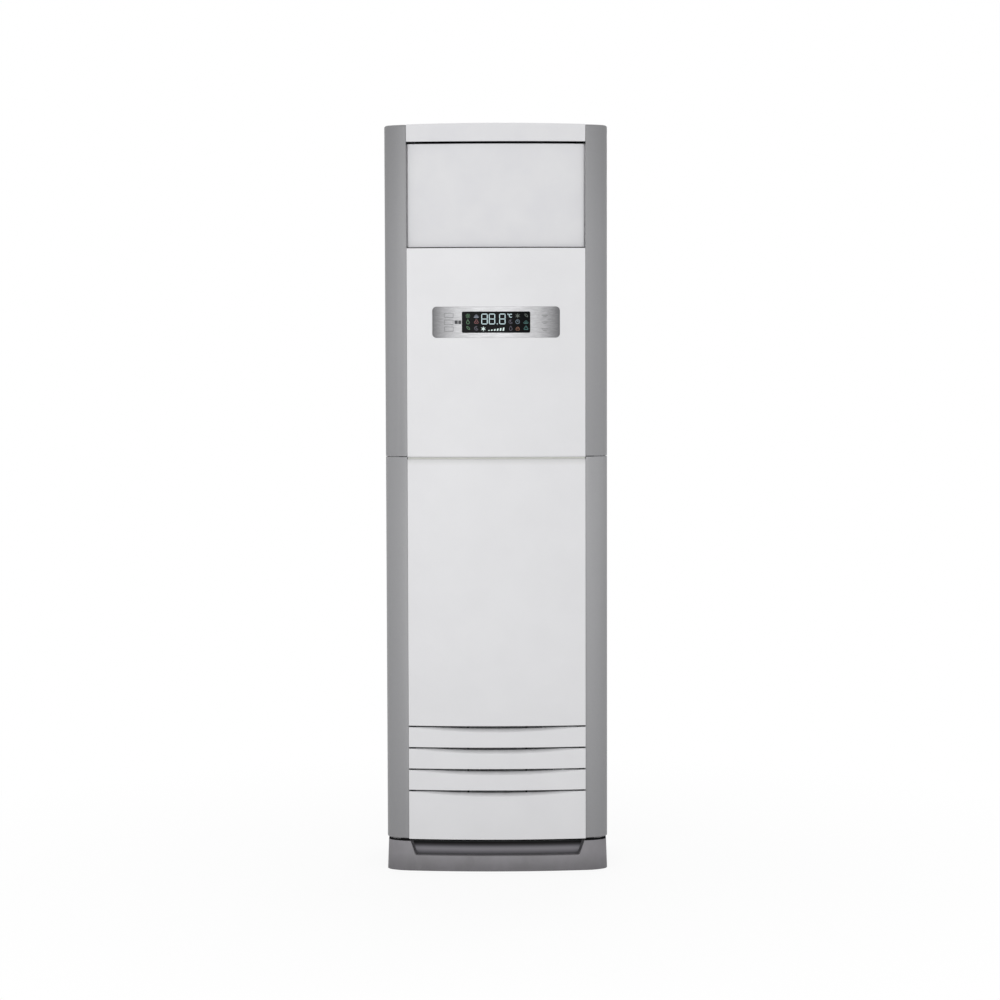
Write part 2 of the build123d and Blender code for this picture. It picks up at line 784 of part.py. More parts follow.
# ---------------------------------------------------------------- blower
fan_x = -20.0
fan_z = 340.0
scroll_radius = 160.0                     # from the fan's axis to the tongue
scroll_growth = 14.0                      # each quarter turn
scroll_front = front + 95.5
scroll_back = back - 105.5
scroll_sheet = 1.2
shelf_z = 640.0
scroll_top = shelf_z - seat
scroll_flange = 5.0
outlet_left = fan_x
inlet_hole = 128.0
hub_hole = 50.0


def scroll_plan():
    """Draws in the open sketch the blower housing's snail shape with its outlet upwards."""
    second = scroll_radius + scroll_growth
    third = second + scroll_growth
    with BuildLine() as outline:
        CenterArc((fan_x, fan_z), scroll_radius, 90, 90)
        CenterArc((fan_x + scroll_growth, fan_z), second, 180, 90)
        CenterArc((fan_x + scroll_growth, fan_z + scroll_growth), third, 270, 90)
        Polyline(
            (fan_x + scroll_growth + third, fan_z + scroll_growth),
            (fan_x + scroll_growth + third, scroll_top),
            (fan_x, scroll_top),
            (fan_x, fan_z + scroll_radius),
        )
    make_face(outline.edges())


outlet_right = fan_x + scroll_growth + scroll_radius + 2 * scroll_growth
with BuildPart() as blower_housing:
    with BuildSketch(Plane.XZ.offset(-scroll_front)):
        scroll_plan()
    extrude(amount=scroll_front - scroll_back)
    block(
        outlet_left - scroll_flange, outlet_right + scroll_flange,
        scroll_front - scroll_flange, scroll_back + scroll_flange,
        scroll_top - frame_sheet, scroll_top,
    )
    with BuildSketch(Plane.XZ.offset(-scroll_front - scroll_sheet)):
        scroll_plan()
        offset(amount=-scroll_sheet)
    extrude(amount=scroll_front - scroll_back + 2 * scroll_sheet, mode=Mode.SUBTRACT)
    block(
        outlet_left + scroll_sheet, outlet_right - scroll_sheet,
        scroll_front + scroll_sheet, scroll_back - scroll_sheet,
        scroll_top - scroll_flange, scroll_top + past, mode=Mode.SUBTRACT,
    )
    rod(
        (fan_x, scroll_front - past, fan_z), (fan_x, scroll_front + scroll_sheet + past, fan_z),
        inlet_hole, Mode.SUBTRACT,
    )
    rod(
        (fan_x, scroll_back - scroll_sheet - past, fan_z), (fan_x, scroll_back + past, fan_z),
        hub_hole, Mode.SUBTRACT,
    )
blower_housing.part.label = "blower_housing"
export_step(blower_housing.part, "parts/blower_housing.step")

ring_wall = 1.5
ring_rim = 20.0
ring_mouth = 10.0
ring_throat = 5.0                         # how far the ring reaches into the housing
ring_flare = 4.0                          # how much wider its rim starts than its throat
throat = fan_z + inlet_hole - seat
ring_back = scroll_front - seat
with BuildPart() as inlet_ring:
    with BuildSketch(Plane.YZ.offset(fan_x)):
        with BuildLine():
            Polyline(
                (scroll_front + ring_throat, throat - ring_wall), (scroll_front + ring_throat, throat),
                (ring_back, throat), (ring_back, throat + ring_rim),
                (ring_back - ring_wall, throat + ring_rim), (ring_back - ring_wall, throat + ring_flare),
                (scroll_front - ring_mouth, throat), (scroll_front - ring_mouth, throat - ring_wall),
                close=True,
            )
        make_face()
    revolve(axis=Axis((fan_x, 0, fan_z), (0, 1, 0)))
inlet_ring.part.label = "inlet_ring"
export_step(inlet_ring.part, "parts/inlet_ring.step")

wheel_radius = 146.0
wheel_front = scroll_front + 10.0
wheel_back = scroll_back - 10.0
wheel_plate = 2.0
wheel_ring = 12.0                         # width of the ring that joins the blades' front ends
wheel_rim = 3.0                           # thickness of that ring
blade_count = 40
blade_thick = 1.2
blade_inset = 1.0                         # of the blades' ends from the ring's two edges
blade_lead = -4.0                         # how far round each blade's inner end lies
blade_belly = -1.5                        # its middle
blade_trail = 5.0                         # and its outer end
hub_radius = 16.0
hub_length = 24.0
hub_stand = 4.0                           # how far the hub stands out behind the wheel's plate
hub_play = 0.05                           # between the hub and the shaft
shaft_radius = 6.0
fan_axis = Plane(origin=(fan_x, 0, fan_z), x_dir=(1, 0, 0), z_dir=(0, -1, 0))

with BuildPart() as blower_wheel:
    with BuildSketch(fan_axis.offset(-wheel_back)):
        Circle(wheel_radius)
    extrude(amount=wheel_plate)
    with BuildSketch(fan_axis.offset(-wheel_back + wheel_plate)):
        with PolarLocations(wheel_radius - wheel_ring, blade_count):
            with BuildLine(mode=Mode.PRIVATE) as camber:
                ThreePointArc(
                    (blade_inset - wheel_ring, blade_lead), (blade_inset, blade_belly),
                    (wheel_ring - blade_inset, blade_trail),
                )
            SlotArc(camber.edge(), blade_thick)
    extrude(amount=wheel_back - wheel_front - wheel_plate)
    with BuildSketch(fan_axis.offset(-wheel_front - wheel_rim)):
        Circle(wheel_radius)
        Circle(wheel_radius - wheel_ring, mode=Mode.SUBTRACT)
    extrude(amount=wheel_rim)
    with BuildSketch(fan_axis.offset(-wheel_back - hub_stand)):
        Circle(hub_radius)
    extrude(amount=hub_length)
    with BuildSketch(fan_axis.offset(-wheel_back - hub_stand)):
        Circle(shaft_radius + hub_play)
    extrude(amount=hub_length, mode=Mode.SUBTRACT)
blower_wheel.part.label = "blower_wheel"
export_step(blower_wheel.part, "parts/blower_wheel.step")

plate_sheet = 2.0                         # thickness of the motor's steel plate
motor_front = scroll_back + 2 * seat + plate_sheet
motor_radius = 62.0
motor_long = 68.0
motor_boss = 19.0
motor_round = 7.0
boss_stand = 4.0                          # how far the motor's boss stands out
nut_radius = 11.0
nut_thick = 6.0
nut_seat = 0.1                            # between the nut and the hub
hub_front = wheel_back + hub_stand - hub_length
shaft_nose = 9.0                          # how far the shaft reaches out of the hub
shaft_tail = 24.0                         # and into the motor
with BuildPart() as fan_shaft:
    rod(
        (fan_x, hub_front - shaft_nose, fan_z), (fan_x, motor_front + shaft_tail, fan_z),
        shaft_radius,
    )
    with BuildSketch(fan_axis.offset(nut_seat - hub_front)):
        RegularPolygon(nut_radius, 6)
    extrude(amount=nut_thick)
fan_shaft.part.label = "fan_shaft"
export_step(fan_shaft.part, "parts/fan_shaft.step")

with BuildPart() as fan_motor:
    with BuildSketch(fan_axis.offset(-motor_front)):
        Circle(motor_radius)
    extrude(amount=-motor_long)
    fillet(fan_motor.edges().filter_by(GeomType.CIRCLE), motor_round)
    with BuildSketch(fan_axis.offset(-motor_front - boss_stand)):
        Circle(motor_boss)
    extrude(amount=2 * boss_stand)
    with BuildSketch(fan_axis.offset(-motor_front + boss_stand + past)):
        Circle(shaft_radius + pin_play)
    extrude(amount=-boss_stand - shaft_tail - 2 * past, mode=Mode.SUBTRACT)
fan_motor.part.label = "fan_motor"
export_step(fan_motor.part, "parts/fan_motor.step")

bracket_side = 210.0
bracket_round = 20.0
bracket_bolt = 3.5                        # radius of its bolt holes
bracket_bolt_span = 180.0                 # between them
with BuildPart() as motor_bracket:
    with BuildSketch(fan_axis.offset(-scroll_back - seat)):
        RectangleRounded(bracket_side, bracket_side, bracket_round)
        Circle(motor_boss + past, mode=Mode.SUBTRACT)
        with GridLocations(bracket_bolt_span, bracket_bolt_span, 2, 2):
            Circle(bracket_bolt, mode=Mode.SUBTRACT)
    extrude(amount=-plate_sheet)
motor_bracket.part.label = "motor_bracket"
export_step(motor_bracket.part, "parts/motor_bracket.step")


# ---------------------------------------------------------------- heat exchanger and its pipes
coil_lean = 11.9                          # degrees its upper end leans forward
lean_angle = math.radians(coil_lean)
coil_foot_y = back - 67.4                 # the middle of its lower end stands here, in the drain pan
coil_foot_z = shelf_z + 72.0
coil_head_room = 62.0                     # between its upper end and the outlet
coil_long = (outlet_low - coil_head_room - coil_foot_z) / math.cos(lean_angle)
coil_middle_y = coil_foot_y - coil_long / 2 * math.sin(lean_angle)
coil_middle_z = coil_foot_z + coil_long / 2 * math.cos(lean_angle)
coil_half = frame_half - 32.4
coil_thick = 38.0
tube_radius = 4.0
tube_rows = 16
row_offset = 9.5                          # of each row of tubes from the middle of the fins
end_sheet_gap = 0.5
end_sheet_at = coil_half + end_sheet_gap
tube_end = end_sheet_at + 2.0
tube_margin = 20.0
tube_pitch = (coil_long - 2 * tube_margin) / (tube_rows - 1)
fin_groove = 10.0                         # between the grooves that part the fin pack
fin_groove_count = int(2 * coil_half / fin_groove) - 1
fin_groove_deep = 3.0
tube_play = 0.1                           # between a tube and the fins or the end sheets
coil_plane = Plane(
    origin=(0, coil_middle_y, coil_middle_z), x_dir=(1, 0, 0),
    z_dir=(0, -math.cos(lean_angle), -math.sin(lean_angle)),
)
tube_places = [
    (-coil_long / 2 + tube_margin + row * tube_pitch, side * row_offset)
    for row in range(tube_rows)
    for side in (-1, 1)
]


def coil_point(x, along, out):
    """A point in the heat exchanger's own directions: across, up its slope, out of its front."""
    return tuple(coil_plane.from_local_coords(Vector(x, along, out)))


def coil_rod(start, end, radius, mode=Mode.ADD):
    """Adds to the open part a bar between two points of the heat exchanger's own directions."""
    rod(coil_point(*start), coil_point(*end), radius, mode)


with BuildPart() as evaporator_fins:
    with BuildSketch(coil_plane.offset(-coil_thick / 2)):
        Rectangle(2 * coil_half, coil_long)
    extrude(amount=coil_thick)
    with BuildSketch(coil_plane.offset(coil_thick / 2 - fin_groove_deep)):
        with GridLocations(fin_groove, 1, fin_groove_count, 1):
            Rectangle(fin_groove / 2, coil_long + 2 * past)
    extrude(amount=fin_groove_deep + past, mode=Mode.SUBTRACT)
    with BuildSketch(Plane.YZ.offset(-coil_half - past)):
        for along, out in tube_places:
            with Locations(coil_point(0, along, out)[1:]):
                Circle(tube_radius + tube_play)
    extrude(amount=2 * (coil_half + past), mode=Mode.SUBTRACT)
evaporator_fins.part.label = "evaporator_fins"
export_step(evaporator_fins.part, "parts/evaporator_fins.step")

end_flange_at = 22.0
end_flange_head = 20.0                    # from the heat exchanger's upper end down to the end flanges
end_flange_foot = 60.0                    # and from its lower end up to them
with BuildPart() as evaporator_ends:
    for side in (-1, 1):
        near = side * end_sheet_at
        with BuildSketch(coil_plane.offset(-coil_thick / 2)):
            with Locations((near + side * sheet / 2, 0)):
                Rectangle(sheet, coil_long)
        extrude(amount=coil_thick / 2 + end_flange_at)
        with BuildSketch(coil_plane.offset(end_flange_at)):
            with Locations(((near + side * frame_half) / 2, (end_flange_foot - end_flange_head) / 2)):
                Rectangle(frame_half - end_sheet_at, coil_long - end_flange_foot - end_flange_head)
        extrude(amount=sheet)
    with BuildSketch(Plane.YZ.offset(-tube_end)):
        for along, out in tube_places:
            with Locations(coil_point(0, along, out)[1:]):
                Circle(tube_radius + tube_play)
    extrude(amount=2 * tube_end, mode=Mode.SUBTRACT)
evaporator_ends.part.label = "evaporator_ends"
export_step(evaporator_ends.part, "parts/evaporator_ends.step")

bend_radius = tube_pitch / 2
header_x = coil_half + 21.0
header_out = -27.0
header_radius = 8.0
header_low = 40.0 - coil_long / 2
first_tube = -coil_long / 2 + tube_margin
last_tube = first_tube + (tube_rows - 1) * tube_pitch
liquid_x = coil_half + 7.5
liquid_radius = 4.8
liquid_out = header_out - 5.0
header_neck = header_radius - 2.0
header_rise = 8.0                         # how far the header reaches above the last tube
with BuildPart() as evaporator_coil:
    for out in (-row_offset, row_offset):
        with BuildLine(coil_plane.offset(out)) as serpentine:
            for row in range(tube_rows):
                across = tube_end if row % 2 else -tube_end
                along = first_tube + row * tube_pitch
                Line((-across, along), (across, along))
                if row < tube_rows - 1:
                    bulge = across + math.copysign(bend_radius, across)
                    ThreePointArc(
                        (across, along), (bulge, along + bend_radius), (across, along + tube_pitch)
                    )
        with BuildSketch(Plane(origin=serpentine.line @ 0, z_dir=serpentine.line % 0)):
            Circle(tube_radius)
        sweep(path=serpentine.wire())
    for out in (-row_offset, row_offset):
        coil_rod((tube_end, last_tube, out), (header_x, last_tube, out), tube_radius)
        coil_rod((tube_end, first_tube, out), (liquid_x, first_tube, out), tube_radius)
    coil_rod((header_x, last_tube, header_out), (header_x, last_tube, row_offset), header_neck)
    coil_rod(
        (header_x, header_low, header_out), (header_x, last_tube + header_rise, header_out), header_radius
    )
    coil_rod((liquid_x, first_tube, liquid_out), (liquid_x, first_tube, row_offset), liquid_radius)
evaporator_coil.part.label = "evaporator_coil"
export_step(evaporator_coil.part, "parts/evaporator_coil.step")

tray_wall = 3.0
tray_half = frame_half - 7.4
tray_back = back - 35.5
tray_deep = 62.0
tray_front = tray_back - tray_deep
tray_low = shelf_z + frame_sheet + seat
tray_high = 718.0
drain_x = header_x - 36.0
drain_y = (tray_front + tray_back) / 2
spigot_radius = 9.0
spigot_wall = 2.0
spigot_low = shelf_z - 20.0
with BuildPart() as drain_pan:
    block(-tray_half, tray_half, tray_front, tray_back, tray_low, tray_high)
    block(
        -tray_half + tray_wall, tray_half - tray_wall,
        tray_front + tray_wall, tray_back - tray_wall,
        tray_low + tray_wall, tray_high + past, mode=Mode.SUBTRACT,
    )
    rod((drain_x, drain_y, spigot_low), (drain_x, drain_y, tray_low + bite), spigot_radius)
    rod(
        (drain_x, drain_y, spigot_low - past), (drain_x, drain_y, tray_low + tray_wall + past),
        spigot_radius - spigot_wall, Mode.SUBTRACT,
    )
drain_pan.part.label = "drain_pan"
export_step(drain_pan.part, "parts/drain_pan.step")

hose_wall = 2.4
hose_bore = spigot_radius + 0.1
hose_low = 185.0
hose_bend = 30.0
hose_end = rear_flange - 4.0
with BuildPart() as drain_pipe:
    with BuildLine() as hose_path:
        FilletPolyline(
            (drain_x, drain_y, shelf_z - seat), (drain_x, drain_y, hose_low),
            (drain_x, hose_end, hose_low), radius=hose_bend,
        )
    with BuildSketch(Plane(origin=hose_path.line @ 0, z_dir=hose_path.line % 0)):
        Circle(hose_bore + hose_wall)
        Circle(hose_bore, mode=Mode.SUBTRACT)
    sweep(path=hose_path.wire())
drain_pipe.part.label = "drain_pipe"
export_step(drain_pipe.part, "parts/drain_pipe.step")

pipe_y = back - 22.5
pipe_low = 228.0
liquid_drop_x = header_x - 30.0
gas_bend = 12.0
liquid_bend = 7.0
gas_knee = 22.0                           # from the header's lower end down to the gas pipe's first bend
gas_fall = 36.0                           # and on down to its second
liquid_knee = 12.0                        # the same for the liquid pipe
liquid_fall = 25.0
gas_start = coil_point(header_x, header_low, header_out)
liquid_start = coil_point(liquid_x, first_tube, liquid_out)
with BuildPart() as refrigerant_pipes:
    with BuildLine() as gas_path:
        FilletPolyline(
            gas_start, coil_point(header_x, header_low - gas_knee, header_out),
            (header_x, pipe_y, gas_start[2] - gas_fall), (header_x, pipe_y, pipe_low), radius=gas_bend,
        )
    with BuildSketch(Plane(origin=gas_path.line @ 0, z_dir=gas_path.line % 0)):
        Circle(header_radius)
    sweep(path=gas_path.wire())
    with BuildLine() as liquid_path:
        FilletPolyline(
            liquid_start, coil_point(liquid_x, first_tube, liquid_out - liquid_knee),
            (liquid_drop_x, pipe_y, liquid_start[2] - liquid_fall), (liquid_drop_x, pipe_y, pipe_low),
            radius=liquid_bend,
        )
    with BuildSketch(Plane(origin=liquid_path.line @ 0, z_dir=liquid_path.line % 0)):
        Circle(liquid_radius)
    sweep(path=liquid_path.wire())
refrigerant_pipes.part.label = "refrigerant_pipes"
export_step(refrigerant_pipes.part, "parts/refrigerant_pipes.step")

nut_length = 24.0
nut_overhang = 6.0
nut_play = 0.1                            # between a nut and its pipe
gas_nut = 11.0
liquid_nut = 9.0
with BuildPart() as flare_nuts:
    for nut_x, tube, across in (
        (header_x, header_radius, gas_nut), (liquid_drop_x, liquid_radius, liquid_nut)
    ):
        with BuildSketch(Plane.XY.offset(pipe_low - nut_overhang)):
            with Locations((nut_x, pipe_y)):
                RegularPolygon(across, 6, major_radius=True)
                Circle(tube + nut_play, mode=Mode.SUBTRACT)
        extrude(amount=nut_length)
flare_nuts.part.label = "flare_nuts"
export_step(flare_nuts.part, "parts/flare_nuts.step")

shelf_flange = 16.0
spigot_room = 1.0                         # round the drain spigot in the shelf
pipe_room = 2.0                           # and round the pipes
with BuildPart() as shelf:
    with BuildSketch(Plane.XY.offset(shelf_z - shelf_flange)):
        frame_plan()
    extrude(amount=shelf_flange + frame_sheet)
    with BuildSketch(Plane.XY.offset(shelf_z - shelf_flange)):
        frame_plan()
        offset(amount=-frame_sheet, kind=Kind.INTERSECTION)
    extrude(amount=shelf_flange, mode=Mode.SUBTRACT)
    block(
        outlet_left + scroll_sheet, outlet_right - scroll_sheet,
        scroll_front + scroll_sheet, scroll_back - scroll_sheet,
        shelf_z - past, shelf_z + frame_sheet + past, mode=Mode.SUBTRACT,
    )
    for hole_x, hole_y, hole in (
        (drain_x, drain_y, spigot_radius + spigot_room),
        (header_x, pipe_y, header_radius + pipe_room), (liquid_drop_x, pipe_y, liquid_radius + pipe_room),
    ):
        rod(
            (hole_x, hole_y, shelf_z - past), (hole_x, hole_y, shelf_z + frame_sheet + past),
            hole, Mode.SUBTRACT,
        )
shelf.part.label = "shelf"
export_step(shelf.part, "parts/shelf.step")


# ---------------------------------------------------------------- control box
box_half = 130.0
box_front = front + 41.5
box_deep = 40.0
box_low = shelf_z + frame_sheet + seat
box_tall = 238.5
box_high = box_low + box_tall
box_back = box_front + box_deep
terminal_right = box_half - 6.0
terminal_wide = 48.0
terminal_left = terminal_right - terminal_wide
board_low = box_low + 58.5
board_high = box_high - 18.0
board_left = 15.0 - box_half
board_right = terminal_left - 11.0
board_stand = 5.0
board_y = box_back - frame_sheet - board_stand - seat
circuit_thick = 1.6
stand_radius = 3.5
stand_inset = 8.0
cover_hook = 8.0
with BuildPart() as control_box:
    block(-box_half, box_half, box_front, box_back, box_low, box_high)
    block(
        -box_half + frame_sheet, box_half - frame_sheet, box_front - past, box_back - frame_sheet,
        box_low + frame_sheet, box_high - frame_sheet, mode=Mode.SUBTRACT,
    )
    for stand_x in (board_left + stand_inset, board_right - stand_inset):
        for stand_z in (board_low + stand_inset, board_high - stand_inset):
            rod(
                (stand_x, board_y + seat, stand_z), (stand_x, box_back - frame_sheet / 2, stand_z),
                stand_radius,
            )
control_box.part.label = "control_box"
export_step(control_box.part, "parts/control_box.step")

with BuildPart() as control_cover:
    block(
        -box_half - frame_sheet, box_half + frame_sheet,
        box_front - seat - frame_sheet, box_front - seat, box_low, box_high + seat + frame_sheet,
    )
    block(
        -box_half, box_half, box_front - seat - frame_sheet / 2, box_front + cover_hook,
        box_high + seat, box_high + seat + frame_sheet,
    )
control_cover.part.label = "control_cover"
export_step(control_cover.part, "parts/control_cover.step")

# Each block on the board: its left and right, how far it stands out, its foot and its top.
relay_side = 18.0
relay_low = board_low + 12.0
relays = [
    (relay_left, relay_left + relay_side, 16.0, relay_low, relay_low + relay_side)
    for relay_left in (board_left + 11.0, board_left + 36.0, board_left + 61.0)
]
processor = (board_left + 25.0, board_left + 95.0, 5.0, board_low + 80.0, board_low + 100.0)
transformer = (board_left + 15.0, board_left + 55.0, 20.0, board_high - 47.0, board_high - 12.0)
plug_wide = 14.0
plug_step = 20.0
plugs = [
    (board_left + 70.0 + plug_step * plug, board_left + 70.0 + plug_wide + plug_step * plug,
     9.0, board_high - 12.0, board_high - 2.0)
    for plug in range(5)
]
can_stand = 26.0
cans = [
    (board_right - 45.0, board_low + 30.0, 11.0), (board_right - 19.0, board_low + 30.0, 11.0),
    (board_right - 25.0, board_low + 70.0, 7.0),
]
with BuildPart() as control_board:
    block(board_left, board_right, board_y - circuit_thick, board_y, board_low, board_high)
    for piece_left, piece_right, piece_out, piece_low, piece_high in (
        relays + plugs + [processor, transformer]
    ):
        block(
            piece_left, piece_right, board_y - piece_out, board_y - circuit_thick / 2,
            piece_low, piece_high,
        )
    for can_x, can_z, can_radius in cans:
        rod((can_x, board_y - can_stand, can_z), (can_x, board_y - circuit_thick / 2, can_z), can_radius)
control_board.part.label = "control_board"
export_step(control_board.part, "parts/control_board.step")

terminal_low = box_low + 23.5
terminal_high = box_high - 45.0
terminal_count = 8
terminal_end = 5.0
terminal_pitch = (terminal_high - terminal_low - 2 * terminal_end) / terminal_count
terminal_room = 0.76 * terminal_pitch     # height of each terminal's slot
terminal_back = box_back - frame_sheet - seat
terminal_deep = 20.0
terminal_slot = 10.0
terminal_screw = 4.0
terminal_screw_in = 12.0
terminal_screw_high = 3.0
with BuildPart() as terminal_block:
    block(
        terminal_left, terminal_right, terminal_back - terminal_deep, terminal_back,
        terminal_low, terminal_high,
    )
    for terminal in range(terminal_count):
        z = terminal_low + terminal_end + (terminal + 0.5) * terminal_pitch
        slot_floor = terminal_back - terminal_deep + terminal_slot
        block(
            terminal_left - past, terminal_right + past, terminal_back - terminal_deep - past, slot_floor,
            z - terminal_room / 2, z + terminal_room / 2, mode=Mode.SUBTRACT,
        )
        for terminal_x in (terminal_left + terminal_screw_in, terminal_right - terminal_screw_in):
            rod(
                (terminal_x, slot_floor - terminal_screw_high, z), (terminal_x, slot_floor + past, z),
                terminal_screw,
            )
terminal_block.part.label = "terminal_block"
export_step(terminal_block.part, "parts/terminal_block.step")


# ---------------------------------------------------------------- outlet duct, blades and vanes
duct_half = panel_half - 20.0
duct_low = outlet_low + 4.0
duct_high = outlet_high - 5.5
duct_wall = 2.5
duct_past = 9.0                           # how far cutting shapes run past the duct's walls
duct_deep = 129.5                         # how far it reaches behind the front
duct_back = front + duct_deep
duct_front_recess = 22.0                  # of its bowed front edge behind the front face
arm_front = front + 72.5
arm_back = arm_front + 40.0
pin_radius = 2.0
link_pin = 1.5
link_pin_play = 0.05

louvre_count = 5
louvre_pitch = (duct_high - duct_low) / louvre_count
louvre_y = front + 53.5
louvre_front = 18.0                       # from the pivot to the front edge of a louvre blade
louvre_rear = 14.0
louvre_thick = 2.4
louvre_crank = 20.5                       # from the pivot back to the link's pin
louvre_half = duct_half - 1.8
louvre_middle = (duct_low + duct_high) / 2
louvre_heights = [
    louvre_middle + (n - (louvre_count - 1) / 2) * louvre_pitch for n in range(louvre_count)
]
louvre_leader = louvre_count // 2         # the swing motor turns this blade, from the lowest up
ear_x = duct_half - 14.0
ear_thick = 2.0
ear_radius = 3.0
link_thick = 2.4
link_wide = 5.0
link_gap = 0.3
pin_past = 0.5                            # how far the links' pins stand out of the links
link_end = 4.0

vane_count = 6
vane_end = 32.0                           # from the outermost vanes to the duct's sides
vane_pitch = 2 * (duct_half - vane_end) / (vane_count - 1)
vane_y = front + 95.5
vane_reach = 18.0
vane_thick = 2.0
vane_crank = 26.0
vane_low = duct_low + 1.5
vane_high = duct_high - 1.5
vane_places = [(n - (vane_count - 1) / 2) * vane_pitch for n in range(vane_count)]
vane_leader = vane_count - 1
vane_ear_z = duct_low + 6.0

motor_can = 12.0                          # radius of the small stepping motors
motor_can_long = 19.0
motor_gap = 0.3
socket_depth = 7.0
socket_room = 2.0                         # between a pin's end and the floor of its socket

pinion_module = 1.25
pinion_teeth = 16
pinion_pitch = pinion_module * pinion_teeth / 2
rack_pitch_y = front + 39.0
pinion_y = rack_pitch_y + pinion_pitch
pinion_z = outlet_low - 10.0
pinion_shaft_radius = 3.0
lug_x = duct_half - 4.0
lug_thick = 4.0
lug_half = 6.0
lug_drop = 7.0
rack_inner = panel_half - 15.0
rack_outer = panel_half - 7.0

with BuildPart() as outlet_duct:
    with BuildSketch(Plane.XZ.offset(-duct_back)):
        with Locations((0, louvre_middle)):
            Rectangle(2 * (duct_half + duct_wall), duct_high - duct_low + 2 * duct_wall)
            Rectangle(2 * duct_half, duct_high - duct_low, mode=Mode.SUBTRACT)
    extrude(amount=duct_back - front)
    bowed_wall(
        duct_half + duct_past, -depth, duct_front_recess, duct_low - duct_past, duct_high + duct_past,
        Mode.SUBTRACT,
    )
    for arm_low in (duct_low - duct_wall, duct_high):
        for side in (-1, 1):
            block(
                side * duct_half, side * frame_half, arm_front, arm_back,
                arm_low, arm_low + duct_wall,
            )
    for side in (-1, 1):
        block(
            side * lug_x - lug_thick / 2, side * lug_x + lug_thick / 2,
            pinion_y - lug_half, pinion_y + lug_half, pinion_z - lug_drop, duct_low - duct_wall / 2,
        )
    rod(
        (-lug_x - lug_thick, pinion_y, pinion_z), (lug_x + lug_thick, pinion_y, pinion_z),
        pinion_shaft_radius + pin_play, Mode.SUBTRACT,
    )
    for z in louvre_heights:
        rod(
            (-duct_half - duct_past, louvre_y, z), (duct_half + duct_past, louvre_y, z),
            pin_radius + pin_play, Mode.SUBTRACT,
        )
    for x in vane_places:
        rod(
            (x, vane_y, duct_low - duct_past), (x, vane_y, duct_high + duct_past),
            pin_radius + pin_play, Mode.SUBTRACT,
        )
outlet_duct.part.label = "outlet_duct"
export_step(outlet_duct.part, "parts/outlet_duct.step")

for n, z in enumerate(louvre_heights):
    driven_pin = socket_depth - socket_room if n == louvre_leader else 0
    with BuildPart() as louvre_blade:
        with BuildSketch(Plane.YZ.offset(-louvre_half)):
            with Locations((louvre_y + (louvre_rear - louvre_front) / 2, z)):
                SlotOverall(louvre_front + louvre_rear, louvre_thick)
        extrude(amount=2 * louvre_half)
        rod(
            (-duct_half - duct_wall, louvre_y, z),
            (duct_half + duct_wall + driven_pin, louvre_y, z), pin_radius,
        )
        with BuildSketch(Plane.YZ.offset(ear_x)):
            with Locations((louvre_y + louvre_crank / 2 + pin_radius, z)):
                Rectangle(louvre_crank - 2 * pin_radius, 2 * ear_radius)
            with Locations((louvre_y + louvre_crank, z)):
                Circle(ear_radius)
        extrude(amount=ear_thick)
        rod(
            (ear_x + ear_thick / 2, louvre_y + louvre_crank, z),
            (ear_x + ear_thick + link_gap + link_thick + pin_past, louvre_y + louvre_crank, z), link_pin,
        )
    louvre_blade.part.label = f"louvre_blade_{n + 1}"
    export_step(louvre_blade.part, f"parts/louvre_blade_{n + 1}.step")

with BuildPart() as louvre_link:
    with BuildSketch(Plane.YZ.offset(ear_x + ear_thick + link_gap)):
        with Locations((louvre_y + louvre_crank, louvre_middle)):
            Rectangle(link_wide, louvre_heights[-1] - louvre_heights[0] + 2 * link_end)
        for z in louvre_heights:
            with Locations((louvre_y + louvre_crank, z)):
                Circle(link_pin + link_pin_play, mode=Mode.SUBTRACT)
    extrude(amount=link_thick)
louvre_link.part.label = "louvre_link"
export_step(louvre_link.part, "parts/louvre_link.step")

for n, x in enumerate(vane_places):
    driven_pin = socket_depth - socket_room if n == vane_leader else 0
    with BuildPart() as air_vane:
        with BuildSketch(Plane.XY.offset(vane_low)):
            with Locations((x, vane_y)):
                SlotOverall(2 * vane_reach, vane_thick, rotation=90)
        extrude(amount=vane_high - vane_low)
        rod(
            (x, vane_y, duct_low - duct_wall - driven_pin), (x, vane_y, duct_high + duct_wall),
            pin_radius,
        )
        with BuildSketch(Plane.XY.offset(vane_ear_z)):
            with Locations((x, vane_y + vane_crank / 2 + ear_radius)):
                Rectangle(2 * ear_radius, vane_crank - 2 * ear_radius)
            with Locations((x, vane_y + vane_crank)):
                Circle(ear_radius)
        extrude(amount=ear_thick)
        rod(
            (x, vane_y + vane_crank, vane_ear_z + ear_thick / 2),
            (x, vane_y + vane_crank, vane_ear_z + ear_thick + link_gap + link_thick + pin_past), link_pin,
        )
    air_vane.part.label = f"air_vane_{n + 1}"
    export_step(air_vane.part, f"parts/air_vane_{n + 1}.step")

with BuildPart() as vane_link:
    with BuildSketch(Plane.XY.offset(vane_ear_z + ear_thick + link_gap)):
        with Locations((0, vane_y + vane_crank)):
            Rectangle(vane_places[-1] - vane_places[0] + 2 * link_end, link_wide)
        for x in vane_places:
            with Locations((x, vane_y + vane_crank)):
                Circle(link_pin + link_pin_play, mode=Mode.SUBTRACT)
    extrude(amount=link_thick)
vane_link.part.label = "vane_link"
export_step(vane_link.part, "parts/vane_link.step")


def stepping_motor(face, away):
    """Adds to the open part a small motor behind a point, with a socket for the pin it turns."""
    face = Vector(face)
    away = Vector(away)
    rod(tuple(face), tuple(face + away * motor_can_long), motor_can)
    rod(
        tuple(face - away * past), tuple(face + away * socket_depth),
        pin_radius + pin_play, Mode.SUBTRACT,
    )


